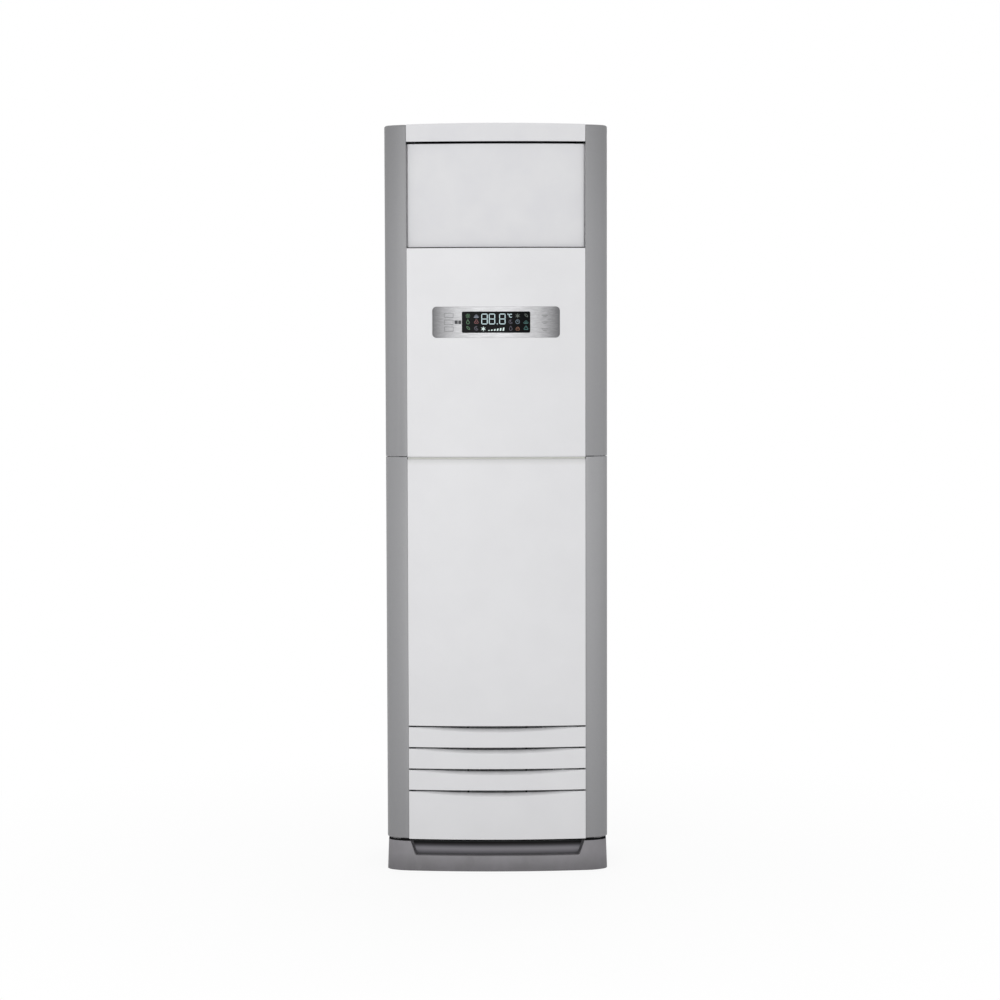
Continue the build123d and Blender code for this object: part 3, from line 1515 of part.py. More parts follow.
with BuildPart() as swing_motors:
    stepping_motor(
        (duct_half + duct_wall + motor_gap, louvre_y, louvre_heights[louvre_leader]), (1, 0, 0)
    )
    stepping_motor(
        (vane_places[vane_leader], vane_y, duct_low - duct_wall - motor_gap), (0, 0, -1)
    )
swing_motors.part.label = "swing_motors"
export_step(swing_motors.part, "parts/swing_motors.step")


# ---------------------------------------------------------------- outlet door and its drive
door_low = outlet_low - 8.0
door_high = outlet_high - 5.0
door_half = panel_half - 2.7
door_return = 8.0
door_flange = 2.4
door_edge = front_at(door_half) + door_recess
door_back = door_edge + door_return
door_reach = panel_half + 9.5             # half the door's width over its guided edges
door_rib = 2.5
door_rib_half = duct_half - 7.0
door_rib_back = duct_front_recess - 2.0
guide_front = door_back - door_flange - play
guide_back = door_back + play
guide_wall = 1.7
rack_base_front = door_recess + door_wall + 0.1
rack_base = 3.0
rack_body_front = front_at(rack_inner) + rack_base_front + 1.2
rack_low = door_low - 20.0
rack_high = door_high - 2.0
rack_pitch = math.pi * pinion_module
tooth_share = 0.45                        # of the pitch, so that the teeth mesh with play
pressure = math.radians(20)
addendum = pinion_module
dedendum = 1.25 * pinion_module
rack_root = rack_pitch_y - dedendum
tooth_sunk = 0.5                          # how far the teeth start inside the rack

with BuildPart() as outlet_door:
    bowed_wall(door_half, door_recess, door_recess + door_wall, door_low, door_high)
    for side in (-1, 1):
        block(
            side * (door_half - return_wall), side * door_half,
            door_edge + bite, door_back, door_low, door_high,
        )
        block(
            side * (door_half - return_wall), side * door_reach,
            door_back - door_flange, door_back, door_low, door_high,
        )
    for rib_low in (door_low, door_high - door_rib):
        bowed_wall(door_rib_half, door_recess + bite, door_rib_back, rib_low, rib_low + door_rib)
outlet_door.part.label = "outlet_door"
export_step(outlet_door.part, "parts/outlet_door.step")

flank_tip = tooth_share * rack_pitch / 2 - addendum * math.tan(pressure)
flank_root = tooth_share * rack_pitch / 2 + dedendum * math.tan(pressure)
tooth_total = int((rack_high - rack_low) / rack_pitch) - 1
first_tooth = math.ceil((rack_low + rack_pitch / 2 - pinion_z) / rack_pitch - 0.5)
with BuildPart() as door_racks:
    with BuildSketch(Plane.XY.offset(rack_low)):
        bowed_band(rack_outer, rack_base_front, rack_base_front + rack_base)
        with Locations((0, front)):
            Rectangle(2 * rack_inner, 3 * depth, mode=Mode.SUBTRACT)
        for side in (-1, 1):
            with Locations((
                side * (rack_inner + rack_outer) / 2, (rack_body_front + rack_root) / 2,
            )):
                Rectangle(rack_outer - rack_inner, rack_root - rack_body_front)
    extrude(amount=rack_high - rack_low)
    with BuildSketch(Plane.YZ.offset(rack_inner)) as right_teeth:
        for tooth in range(tooth_total):
            middle = pinion_z + (first_tooth + tooth + 0.5) * rack_pitch
            with BuildLine():
                Polyline(
                    (rack_root - tooth_sunk, middle - flank_root), (rack_root, middle - flank_root),
                    (rack_pitch_y + addendum, middle - flank_tip),
                    (rack_pitch_y + addendum, middle + flank_tip),
                    (rack_root, middle + flank_root), (rack_root - tooth_sunk, middle + flank_root),
                    close=True,
                )
            make_face()
    extrude(amount=rack_outer - rack_inner)
    with BuildSketch(Plane.YZ.offset(-rack_outer)):
        add(right_teeth.sketch_local)
    extrude(amount=rack_outer - rack_inner)
door_racks.part.label = "door_racks"
export_step(door_racks.part, "parts/door_racks.step")

base_circle = pinion_pitch * math.cos(pressure)
tip_circle = pinion_pitch + addendum
root_circle = pinion_pitch - dedendum
tooth_half = tooth_share * rack_pitch / (2 * pinion_pitch) + math.tan(pressure) - pressure


def flank_angle(radius):
    """Half the angle a pinion tooth fills at a radius: an involute outside its base circle."""
    roll = math.acos(min(1.0, base_circle / radius))
    return tooth_half - (math.tan(roll) - roll)


def tooth_points(middle):
    """Points round one pinion tooth whose middle is at an angle."""
    radii = [
        root_circle - tooth_sunk, base_circle, (base_circle + pinion_pitch) / 2, pinion_pitch, tip_circle
    ]
    rising = [(r, middle - flank_angle(max(r, base_circle))) for r in radii]
    falling = [(r, middle + flank_angle(max(r, base_circle))) for r in reversed(radii)]
    return [(r * math.cos(a), r * math.sin(a)) for r, a in rising + falling]


pinion_inset = 0.5
shaft_end = rack_outer + 2.0
with BuildPart() as pinion_shaft:
    rod(
        (-shaft_end, pinion_y, pinion_z), (shaft_end + socket_depth, pinion_y, pinion_z),
        pinion_shaft_radius,
    )
    for side in (-1, 1):
        pinion_face = (side * (rack_inner + rack_outer) - rack_outer + rack_inner) / 2 + pinion_inset
        with BuildSketch(
            Plane(origin=(pinion_face, pinion_y, pinion_z), x_dir=(0, 1, 0), z_dir=(1, 0, 0))
        ):
            Circle(root_circle)
            for tooth in range(pinion_teeth):
                with BuildLine():
                    Polyline(*tooth_points(math.pi + tooth * 2 * math.pi / pinion_teeth), close=True)
                make_face()
        extrude(amount=rack_outer - rack_inner - 2 * pinion_inset)
pinion_shaft.part.label = "pinion_shaft"
export_step(pinion_shaft.part, "parts/pinion_shaft.step")

door_motor_face = shaft_end + 1.5
with BuildPart() as door_motor:
    rod(
        (door_motor_face, pinion_y, pinion_z),
        (door_motor_face + motor_can_long, pinion_y, pinion_z), motor_can,
    )
    rod(
        (shaft_end, pinion_y, pinion_z), (shaft_end + socket_depth + past, pinion_y, pinion_z),
        pinion_shaft_radius + pin_play, Mode.SUBTRACT,
    )
door_motor.part.label = "door_motor"
export_step(door_motor.part, "parts/door_motor.step")

guide_inner = pillar_x + 3.5
guide_edge = door_reach + 0.5
guide_foot = half_width - 17.5
with BuildPart() as door_guides:
    for side in (-1, 1):
        block(
            side * guide_inner, side * (guide_edge + guide_wall),
            guide_front - guide_wall, guide_front, guide_low, guide_high,
        )
        block(
            side * guide_edge, side * (guide_edge + guide_wall),
            guide_front - guide_wall, side_flange_front - seat, guide_low, guide_high,
        )
        block(
            side * guide_inner, side * (guide_edge + guide_wall),
            guide_back, guide_back + guide_wall, guide_low, guide_high,
        )
        block(
            side * guide_edge, side * guide_foot,
            side_flange_front - seat - guide_wall, side_flange_front - seat, guide_low, guide_high,
        )
door_guides.part.label = "door_guides"
export_step(door_guides.part, "parts/door_guides.step")
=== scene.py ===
"""The looks of a floor standing air conditioner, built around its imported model.

Lengths in the making functions are millimetres unless a name says metres; X is to the right of the front,
-Y is out of the front and Z is up, with the origin on the floor under the middle of the case.
"""
import json
import math

import bmesh
import bpy
from mathutils import Matrix, Vector


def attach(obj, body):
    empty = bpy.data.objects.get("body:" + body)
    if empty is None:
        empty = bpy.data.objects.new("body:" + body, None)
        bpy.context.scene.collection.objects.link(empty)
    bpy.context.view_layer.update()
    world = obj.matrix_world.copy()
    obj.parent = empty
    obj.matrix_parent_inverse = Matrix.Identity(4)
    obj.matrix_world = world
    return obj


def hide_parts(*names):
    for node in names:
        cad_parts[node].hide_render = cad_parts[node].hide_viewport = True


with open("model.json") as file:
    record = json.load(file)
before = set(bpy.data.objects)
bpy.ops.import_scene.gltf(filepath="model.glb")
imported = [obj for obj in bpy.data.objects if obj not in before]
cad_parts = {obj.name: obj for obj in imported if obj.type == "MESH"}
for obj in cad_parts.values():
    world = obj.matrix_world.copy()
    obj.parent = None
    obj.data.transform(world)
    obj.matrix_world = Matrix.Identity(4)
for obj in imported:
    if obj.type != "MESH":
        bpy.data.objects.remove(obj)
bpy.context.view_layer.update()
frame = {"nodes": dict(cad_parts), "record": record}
nodes = frame["nodes"]
MM = 0.001

# ------------------------------------------------------------------ sizes shared with the case, millimetres
FRONT = -157.5                          # the middle of the bowed front
PANEL_HALF = 202.0                      # half the width of the front panels
BOW = 14.0                              # how far the front bows out over that width
BOW_RADIUS = (PANEL_HALF**2 + BOW**2) / (2 * BOW)
BOW_FACET = 80.0                        # no facet of a bowed CAD face is wider
SEAM = (944.0, 947.0)                   # the edges of the lower and the upper front panel
PILLAR_FOOT = 74.4                      # the lower ends of the pillars
PILLAR_EDGE = 202.5                     # the inner edge of a pillar
PILLAR_FACE = (85.557, 36.0)            # the radius of its face, and how many degrees round it turns
PILLAR_CORNER = 28.0                    # the radius of its outer corner
CASE_SIDE = 252.5                       # the outside of the pillars' side walls
SHEET_SIDE = 248.8                      # the outside of the sheet metal side panels
PLATE_MIDDLE = 1253.0                   # the middle of the display plate
RECESS = (35.5, 68.0, 188.0, 199.0)     # the foot's recess: its floor, its top, and half its width at each
RECESS_BACK = 14.0                      # its back's depth behind the front
SLITS = (182.9, 232.1, 281.3, 330.5)    # lower edges of the intake slits at their ends


def front_at(x):
    """Y of the bowed front face at x."""
    return FRONT + BOW_RADIUS - math.sqrt(BOW_RADIUS**2 - x**2)


# ------------------------------------------------------------------ camera
def stand_camera(place, turn, tilt, roll, lens):
    """Stands the camera at a place in metres, turned, tilted down and rolled by degrees."""
    turn, tilt, roll = (math.radians(a) for a in (turn, tilt, roll))
    ahead = Vector((
        math.cos(tilt) * math.sin(turn), math.cos(tilt) * math.cos(turn), -math.sin(tilt)
    ))
    level = Vector((math.cos(turn), -math.sin(turn), 0))
    upright = level.cross(ahead)
    right = math.cos(roll) * level + math.sin(roll) * upright
    upward = math.cos(roll) * upright - math.sin(roll) * level
    data = bpy.data.cameras.new("camera")
    data.lens = lens
    data.clip_end = 60
    camera = bpy.data.objects.new("camera", data)
    bpy.context.scene.collection.objects.link(camera)
    camera.matrix_world = (
        Matrix.Translation(place) @ Matrix((right, upward, -ahead)).transposed().to_4x4()
    )
    bpy.context.scene.camera = camera


# Fitted to the photograph's view: nearly straight on from 6 m, at two thirds of the case's height.
stand_camera(Vector((0.0092, -6.0712, 1.2050)), turn=-0.014, tilt=3.428, roll=-0.151, lens=94.1)


# ------------------------------------------------------------------ making materials
def colour(code):
    """An sRGB hex value as the linear colour that a socket takes."""
    parts = [int(code[n:n + 2], 16) / 255 for n in (1, 3, 5)]
    return tuple(c / 12.92 if c <= 0.04045 else ((c + 0.055) / 1.055) ** 2.4 for c in parts) + (1.0,)


def add(tree, kind, feeds=None, stops=(), **settings):
    """Adds a node, sets it, feeds its sockets with values or outputs, and places a ramp's stops."""
    node = tree.nodes.new(kind)
    for name, value in settings.items():
        setattr(node, name, value)
    for socket, value in (feeds or {}).items():
        if isinstance(value, bpy.types.NodeSocket):
            tree.links.new(value, node.inputs[socket])
        else:
            node.inputs[socket].default_value = value
    if stops:
        elements = node.color_ramp.elements
        while len(elements) < len(stops):
            elements.new(1.0)
        for element, (place, code) in zip(elements, stops):
            element.position = place
            element.color = colour(code)
    return node


MULTIPLY = {"data_type": "RGBA", "blend_type": "MULTIPLY"}


def spots(tree, size_mm, stretch=(1, 1, 1), detail=2.0, rough=0.5):
    """Soft random spots of one size, on the piece's own Object coordinates."""
    where = add(tree, "ShaderNodeTexCoord").outputs["Object"]
    stretched = add(tree, "ShaderNodeMapping", {"Vector": where, "Scale": stretch}).outputs["Vector"]
    return add(tree, "ShaderNodeTexNoise", {
        "Vector": stretched, "Scale": 1 / (size_mm * MM), "Detail": detail, "Roughness": rough,
    }).outputs["Fac"]


def even(*codes):
    """A ramp's stops, spread evenly over the middle of a pattern's values from low to high."""
    first, last = 0.3, 0.7
    return [(first + (last - first) * n / (len(codes) - 1), code) for n, code in enumerate(codes)]


def mottled(tree, codes, size_mm, **pattern):
    """Close shades in soft spots of one size."""
    values = spots(tree, size_mm, **pattern)
    return add(tree, "ShaderNodeValToRGB", {"Fac": values}, even(*codes)).outputs["Color"]


def by_height(tree, *stops, base=None):
    """Colours by height over the floor, from stops of (millimetres, code); they darken a base if given."""
    low, high = stops[0][0], stops[-1][0]
    where = add(tree, "ShaderNodeTexCoord").outputs["Object"]
    height = add(tree, "ShaderNodeSeparateXYZ", {"Vector": where}).outputs["Z"]
    share = add(tree, "ShaderNodeMapRange", {
        "Value": height, "From Min": low * MM, "From Max": high * MM,
    }).outputs["Result"]
    places = [((z - low) / (high - low), code) for z, code in stops]
    shade = add(tree, "ShaderNodeValToRGB", {"Fac": share}, places).outputs["Color"]
    if base is None:
        return shade
    return add(tree, "ShaderNodeMix", {0: 1.0, 6: base, 7: shade}, **MULTIPLY).outputs[2]


def material(name, shader, tint, *bumps):
    """A principled material; tint makes its colour and bumps are (height maker, depth in millimetres)."""
    made = bpy.data.materials.new(name)
    made.use_nodes = True
    tree = made.node_tree
    tree.nodes.clear()
    body = add(tree, "ShaderNodeBsdfPrincipled", dict(shader, **{"Base Color": tint(tree)}))
    add(tree, "ShaderNodeOutputMaterial", {"Surface": body.outputs["BSDF"]})
    feeds = {}
    for height, depth in bumps:
        feeds.update({"Height": height(tree), "Distance": depth * MM})
        feeds["Normal"] = add(tree, "ShaderNodeBump", feeds).outputs["Normal"]
    if bumps:
        tree.links.new(feeds["Normal"], body.inputs["Normal"])
    return made


def grain(size_mm, depth_mm, **pattern):
    """A bump of soft spots: what makes its heights, and how deep they are."""
    def heights(tree):
        return spots(tree, size_mm, **pattern)
    return heights, depth_mm


def moulded(name, low, high, roughness, grain_mm, grain_depth, patch_mm=70, **more):
    """An injection moulded plastic: two close shades in soft patches over a fine even grain.

    The grain that a tool leaves is about 0.2 mm wide, and here it is drawn about 1 mm wide, to show.
    """
    return material(
        name, dict({"Roughness": roughness, "IOR": 1.5}, **more),
        lambda t: mottled(t, (low, high), patch_mm, detail=3.0), grain(grain_mm, grain_depth, detail=1.0),
    )


# ------------------------------------------------------------------ colours that follow a place on the case
def panel_white_with_seam_shade(tree):
    """Close whites in soft patches, a little darker towards the floor, with painted shade: a grey band
    along the seam where the panels' edges roll back.
    """
    waves = mottled(tree, ("#e2e2e4", "#e5e5e7"), 90, detail=3.0)
    darker_low = by_height(
        tree, (70, "#f9f9f9"), (200, "#fbfbfb"), (340, "#fdfdfd"), (520, "#ffffff"), base=waves
    )
    # Painted shade: a grey band along the seam of the front panels.
    return by_height(
        tree, (929, "#ffffff"), (934, "#f9f9f8"), (939, "#eeeeed"), (943.6, "#dfdfdd"),
        (947.4, "#e6e6e4"), (949.5, "#f8f8f8"), (952, "#ffffff"), base=darker_low,
    )


def flakes_with_end_shade(tree):
    """Fine light and dark flakes, with painted shade: the colour darkens towards both ends of a pillar."""
    sparkle = mottled(tree, ("#949496", "#a0a0a2"), 1.6, detail=4.0, rough=0.8)
    return by_height(
        tree, (70, "#e9e9e9"), (260, "#f4f4f4"), (500, "#f9f9f9"), (800, "#ffffff"),
        (1200, "#ffffff"), (1450, "#f6f6f6"), (1690, "#e3e3e3"), base=sparkle,
    )


def foot_grey_with_shade(tree):
    """Grey in soft patches, with painted shade: darker towards the floor."""
    patches = mottled(tree, ("#7f7d80", "#88868a"), 45, detail=3.0)
    return by_height(
        tree, (0, "#d8d8d8"), (14, "#e2e2e2"), (30, "#f4f4f4"), (40, "#ffffff"), base=patches
    )


def recess_painted_shade(tree):
    """Painted shade on the recess's back: greys from the dark along its floor up to the darkest under the
    panel.
    """
    return by_height(
        tree, (36, "#4c4b4e"), (41, "#5e5d61"), (46, "#7a787d"), (49.8, "#868489"), (53.5, "#77767b"),
        (58, "#474649"), (61, "#29282a"), (63.5, "#101011"), (66, "#161617"), (68, "#333334"),
    )


def spangle(tree):
    """Zinc crystals about 9 mm wide, each a slightly different grey."""
    where = add(tree, "ShaderNodeTexCoord").outputs["Object"]
    cells = add(tree, "ShaderNodeTexVoronoi", {"Vector": where, "Scale": 1 / (9 * MM)})
    greys = even("#94989a", "#9a9ea0", "#a1a5a7")
    return add(tree, "ShaderNodeValToRGB", {"Fac": cells.outputs["Color"]}, greys).outputs["Color"]


def brushed_with_painted_reflection(tree):
    """Foil with a painted reflection, bright in the middle and dark at both ends of the plate, brushed
    along its length.

    The brushing is about 0.1 mm wide, and is drawn 1 mm wide.
    """
    plate_half = 144
    where = add(tree, "ShaderNodeTexCoord").outputs["Object"]
    x = add(tree, "ShaderNodeSeparateXYZ", {"Vector": where}).outputs["X"]
    across = add(tree, "ShaderNodeMath", {0: x}, operation="ABSOLUTE").outputs[0]
    share = add(tree, "ShaderNodeMath", {0: across, 1: plate_half * MM}, operation="DIVIDE").outputs[0]
    painted_reflection = add(tree, "ShaderNodeValToRGB", {"Fac": share}, (
        (0.0, "#d0d0d2"), (0.35, "#cacacc"), (0.62, "#b9b9bb"), (0.78, "#a0a0a2"), (0.90, "#828284"),
        (1.0, "#606062"),
    )).outputs["Color"]
    streaks = mottled(
        tree, ("#bcbcbc", "#dedede", "#ffffff"), 1.1, stretch=(0.03, 1, 1), detail=3.0, rough=0.7
    )
    return add(tree, "ShaderNodeMix", {0: 0.8, 6: painted_reflection, 7: streaks}, **MULTIPLY).outputs[2]


def tracks(tree):
    """Solder mask over copper tracks: paler green lines, drawn 12 mm apart where they are about 1 mm."""
    where = add(tree, "ShaderNodeTexCoord").outputs["Object"]
    return add(tree, "ShaderNodeTexBrick", {
        "Vector": where, "Scale": 1 / (12 * MM), "Mortar Size": 0.06,
        "Color1": colour("#0f4a2a"), "Color2": colour("#13522f"), "Mortar": colour("#2c7a4a"),
    }).outputs["Color"]


def beads(tree):
    """Heights of the flattened beads of foam, about 4 mm wide."""
    where = add(tree, "ShaderNodeTexCoord").outputs["Object"]
    cells = add(tree, "ShaderNodeTexVoronoi", {"Vector": where, "Scale": 1 / (4 * MM)})
    return cells.outputs["Distance"]


# ------------------------------------------------------------------ materials of the outside
# Moulded ABS from a polished tool: a soft sheen, with the faint waves that a large thin wall cools into.
# Its fine texture is about 0.2 mm wide, and is drawn 1.4 mm wide.
# Its colour carries painted shade along the seam of the front panels.
white_abs = material(
    "white_abs_satin", {"Roughness": 0.36, "IOR": 1.5, "Coat Weight": 0.12, "Coat Roughness": 0.25},
    panel_white_with_seam_shade, grain(1.4, 0.006, detail=1.0),
)
# The same ABS from a matt tool on the cap and the door: a shade greyer, its sheen more spread.
cap_abs = moulded("white_abs_matt", "#dcdcdf", "#e0e0e2", 0.48, 1.1, 0.006, 60)
# ABS with aluminium flake lacquer: grey, with a fine sparkle and a soft highlight on the round corners.
# Its flakes are under 0.1 mm, and are drawn 1.6 mm wide.
# Its colour has painted shade darkening both ends of the pillars.
silver_lacquer = material(
    "silver_flake_lacquer",
    {"Metallic": 0.15, "Roughness": 0.5, "Coat Weight": 0.1, "Coat Roughness": 0.35},
    flakes_with_end_shade, grain(0.9, 0.006, detail=1.0),
)
# Moulded ABS with a spark eroded grain for the foot: darker, and dull. Its grain is about 0.3 mm wide, and
# is drawn 1.2 mm wide.
# Its colour has painted shade, darker towards the floor.
plinth_abs = material(
    "grey_abs_grained", {"Roughness": 0.55, "IOR": 1.5}, foot_grey_with_shade, grain(1.2, 0.03, detail=1.0)
)
# The inside of the foot's recess: the same grained ABS, with painted shade under the panel and along its
# floor.
recess_shade_abs = material(
    "grey_abs_painted_shade", {"Roughness": 0.7, "Specular IOR Level": 0.1}, recess_painted_shade, grain(1.2, 0.03)
)
# Powder coated sheet steel: a slight orange peel that breaks up its highlights.
powder_steel = material(
    "powder_coated_steel", {"Roughness": 0.45, "IOR": 1.5, "Coat Weight": 0.1, "Coat Roughness": 0.35},
    lambda t: mottled(t, ("#dcdcdd", "#e1e1e2"), 120), grain(1.8, 0.02),
)
# Hot-dip galvanised steel: crystals of zinc that catch the light one by one.
zinc_steel = material(
    "galvanised_steel", {"Metallic": 0.85, "Roughness": 0.42}, spangle, grain(6, 0.02, detail=3.0)
)
# Brushed aluminium foil on the display plate: streaks along its length, with a painted reflection bright in
# the middle.
brushed_foil = material(
    "brushed_aluminium_foil", {"Metallic": 0.45, "Roughness": 0.38, "Anisotropic": 0.5}, brushed_with_painted_reflection,
    grain(0.8, 0.01, stretch=(0.03, 1, 1)),
)
# Smoked polycarbonate over the display: nearly black, with a clear gloss.
smoked_window = moulded(
    "smoked_polycarbonate", "#040506", "#07090b", 0.16, 8, 0.002, 60, **{"Specular IOR Level": 0.06}
)
# Ink printed on the display plate: dark grey, a little worn.
key_ink = moulded("grey_print_ink", "#565658", "#68686a", 0.6, 0.8, 0.004, 4)
# A closed-cell foam strip that seals the seam of the front: pale, matt and open-pored.
pale_seal = moulded("pale_foam_strip", "#cccec6", "#d4d5ce", 0.9, 1.2, 0.1, 12)
# The same foam in black, for strips of painted shade in the joints of the front and a bar over the outlet
# duct: it gives back almost no light.
black_seal_and_shade = moulded(
    "black_foam_shade_strip", "#0b0b0c", "#121213", 0.95, 1.2, 0.1, 12, **{"Specular IOR Level": 0.1}
)
# Dark grey rubber laid round the recess where its ends and its floor meet its back, as painted shade in
# those corners.
recess_shade_rubber = moulded("dark_grey_shade_rubber", "#3b3a3d", "#454447", 0.75, 1.0, 0.03, 20)

# ------------------------------------------------------------------ materials of the inside
# Black and grey plastics inside the case: dull, with a moulded grain.
black_abs = moulded("black_abs", "#1d1d1f", "#262628", 0.5, 1.0, 0.02, 30)
duct_abs = moulded("dark_grey_abs", "#303134", "#393a3d", 0.55, 1.3, 0.03, 40)
pale_abs = moulded("pale_abs", "#cfcfcf", "#d8d8d8", 0.45, 1.1, 0.01, 40)
vane_abs = moulded("graphite_abs", "#3d3e41", "#46474a", 0.5, 1.0, 0.02, 30)
wheel_nylon = moulded("black_glass_nylon", "#1c1c1e", "#262628", 0.55, 0.9, 0.02, 25)
# Woven nylon net of the filter: dull pale threads, which show as grey in the intake slits.
net_nylon = moulded("nylon_net", "#a3a4a6", "#adaeb0", 0.6, 0.8, 0.01, 15)
# Expanded polystyrene: beads pressed flat against each other, under a chalky surface.
foam = material(
    "beaded_polystyrene", {"Roughness": 0.85}, lambda t: mottled(t, ("#e2e1dc", "#efeeea"), 4),
    (beads, 0.25),
)
# Flexible PVC hose: grey and dull, with a slight bloom.
hose_pvc = moulded("grey_pvc_hose", "#858585", "#919191", 0.5, 1.6, 0.03, 20)
# Moulded EPDM rubber: black, with a chalky grey bloom in patches.
rubber = moulded("black_epdm_rubber", "#151515", "#202020", 0.75, 1.0, 0.04, 20)
# Turned and plated steel: a bright face with faint tool marks, drawn 0.6 mm wide where they are 0.1 mm.
plated_steel = material(
    "zinc_plated_steel", {"Metallic": 1.0, "Roughness": 0.3},
    lambda t: mottled(t, ("#b3b3b0", "#c4c4c2"), 3), grain(0.6, 0.01),
)
# Enamel sprayed on the motors' steel cans: dark grey with a light ripple.
motor_enamel = material(
    "motor_enamel", {"Roughness": 0.4, "Coat Weight": 0.2},
    lambda t: mottled(t, ("#45474b", "#515358"), 25), grain(2.2, 0.03),
)
# Rolled aluminium foil with a thin blue coat: bright, with faint lines from the rolls, drawn 2 mm wide
# where they are under 0.1 mm.
fin_foil = material(
    "coated_aluminium_fins", {"Metallic": 0.75, "Roughness": 0.4},
    lambda t: mottled(t, ("#aebdc6", "#bfccd4"), 30), grain(2, 0.02, stretch=(0.2, 1, 1)),
)
# Drawn copper tube, dulled by handling, browner in patches.
copper = material(
    "drawn_copper", {"Metallic": 1.0, "Roughness": 0.33},
    lambda t: mottled(t, ("#a5603f", "#c98157"), 14, detail=4.0), grain(1.5, 0.01),
)
# Machined brass: yellow, with fine turning marks, drawn 0.7 mm wide where they are 0.1 mm.
brass = material(
    "machined_brass", {"Metallic": 1.0, "Roughness": 0.28},
    lambda t: mottled(t, ("#b8943f", "#caa955"), 5), grain(0.7, 0.01),
)
# Varnished glass fibre board: green mask with a wet gloss.
circuit = material("green_circuit_laminate", {"Roughness": 0.35, "Coat Weight": 0.4}, tracks)


def lit(name, code, strength):
    """Dyed polyester film over the window, lit from behind: an even glow of one colour."""
    return material(
        name, {"Roughness": 0.2, "Emission Color": colour(code), "Emission Strength": strength},
        lambda t: mottled(t, ("#050505", "#0a0a0a"), 4),
    )


# ------------------------------------------------------------------ carrying pieces over and finishing them
BODY_OF = {n: b for b, members in frame["record"]["behaviour"]["bodies"].items() for n in members}


def stand(name, mesh, finish, body):
    """Links a finished mesh as a piece that rides on a body."""
    mesh.name = name
    mesh.materials.clear()
    mesh.materials.append(finish)
    piece = bpy.data.objects.new(name, mesh)
    bpy.context.scene.collection.objects.link(piece)
    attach(piece, body)
    return piece


def plain_mesh(work):
    """The mesh that an object's modifiers make of it; the object itself is removed."""
    graph = bpy.context.evaluated_depsgraph_get()
    mesh = bpy.data.meshes.new_from_object(work.evaluated_get(graph))
    bpy.data.objects.remove(work)
    return mesh


def rounded(mesh, name, edge_mm, segments=2, sharp_degrees=35):
    """Rounds a mesh's sharp edges over and smooths what lies between them."""
    for face in mesh.polygons:
        face.use_smooth = True
    work = bpy.data.objects.new(name + "_work", mesh)
    bpy.context.scene.collection.objects.link(work)
    bevel = work.modifiers.new(name, "BEVEL")
    bevel.limit_method = "ANGLE"
    bevel.angle_limit = math.radians(sharp_degrees)
    bevel.width = edge_mm * MM
    bevel.segments = segments
    bevel.harden_normals = True
    bevel.use_clamp_overlap = True
    return plain_mesh(work)


def merged(node, near=0.01, flat_degrees=0.2):
    """An editable copy of a CAD node's mesh, with its doubles merged and its flats joined."""
    shape = bmesh.new()
    shape.from_mesh(nodes[node].data)
    bmesh.ops.remove_doubles(shape, verts=shape.verts, dist=near * MM)
    bmesh.ops.dissolve_limit(
        shape, angle_limit=math.radians(flat_degrees), verts=shape.verts[:], edges=shape.edges[:]
    )
    return shape


def cut_at(shape, place, normal, near=0.001):
    """Cuts every face at a plane through a place in millimetres, and gives what the cut made."""
    return bmesh.ops.bisect_plane(
        shape, geom=shape.verts[:] + shape.edges[:] + shape.faces[:], dist=near * MM,
        plane_co=[c * MM for c in place], plane_no=normal,
    )["geom_cut"]


def bowed(node, pitch=12.0, near=0.01, level=0.02):
    """A copy of a CAD node whose bowed faces are cut into narrow upright strips on the true curve.

    A cut's point moves to the curve where both its neighbours lie at a level depth behind the front.
    """
    shape = merged(node)
    for n in range(1, int(2 * PANEL_HALF / pitch)):
        x = n * pitch - PANEL_HALF
        for vert in (v for v in cut_at(shape, (x, 0, 0), (1, 0, 0)) if isinstance(v, bmesh.types.BMVert)):
            ends = [e.other_vert(vert).co / MM for e in vert.link_edges]
            ends = sorted((p for p in ends if abs(p.x - x) > near), key=lambda p: p.x)
            if len(ends) == 2 and ends[0].x < x < ends[1].x < ends[0].x + BOW_FACET:
                depths = [p.y - front_at(p.x) for p in ends]
                if abs(depths[0] - depths[1]) < level:
                    vert.co.y = (front_at(x) + depths[0]) * MM
    return shape


def rolled_edge(shape, height, way, tall=4.2, deep=1.7, rises=(0.4, 0.9, 1.6, 2.4, 3.3), near=0.01):
    """Rolls a front panel's face back towards its edge at a height; way is where the panel lies from it."""
    for rise in rises + (tall,):
        cut_at(shape, (0, 0, height + way * rise), (0, 0, 1))
    for vert in shape.verts:
        rise = way * (vert.co.z / MM - height)
        depth = vert.co.y / MM - front_at(vert.co.x / MM)
        if -near < rise < tall and depth < deep:
            roll = deep * (1 - math.sqrt(1 - (1 - rise / tall) ** 2))
            vert.co.y += max(0.0, roll - depth) * MM
    return shape


def soft_foot(node, height, side, radius=2.6, near=0.05):
    """A copy of a pillar whose outer edge is rounded wide at a height, where the foot begins.

    The outer edges are those of upright walls that face outwards: to the front or to the case's side.
    """
    shape = merged(node)
    outward = Vector((side * 0.7, -0.7, 0))
    edges = []
    for edge in shape.edges:
        if all(abs(v.co.z / MM - height) < near for v in edge.verts) and len(edge.link_faces) == 2:
            walls = [f.normal for f in edge.link_faces if abs(f.normal.z) < 0.1]
            if walls and walls[0].dot(outward) > 0.25:
                edges.append(edge)
    bmesh.ops.bevel(
        shape, geom=edges, offset=radius * MM, offset_type="OFFSET", segments=4, profile=0.5, affect="EDGES"
    )
    return shape


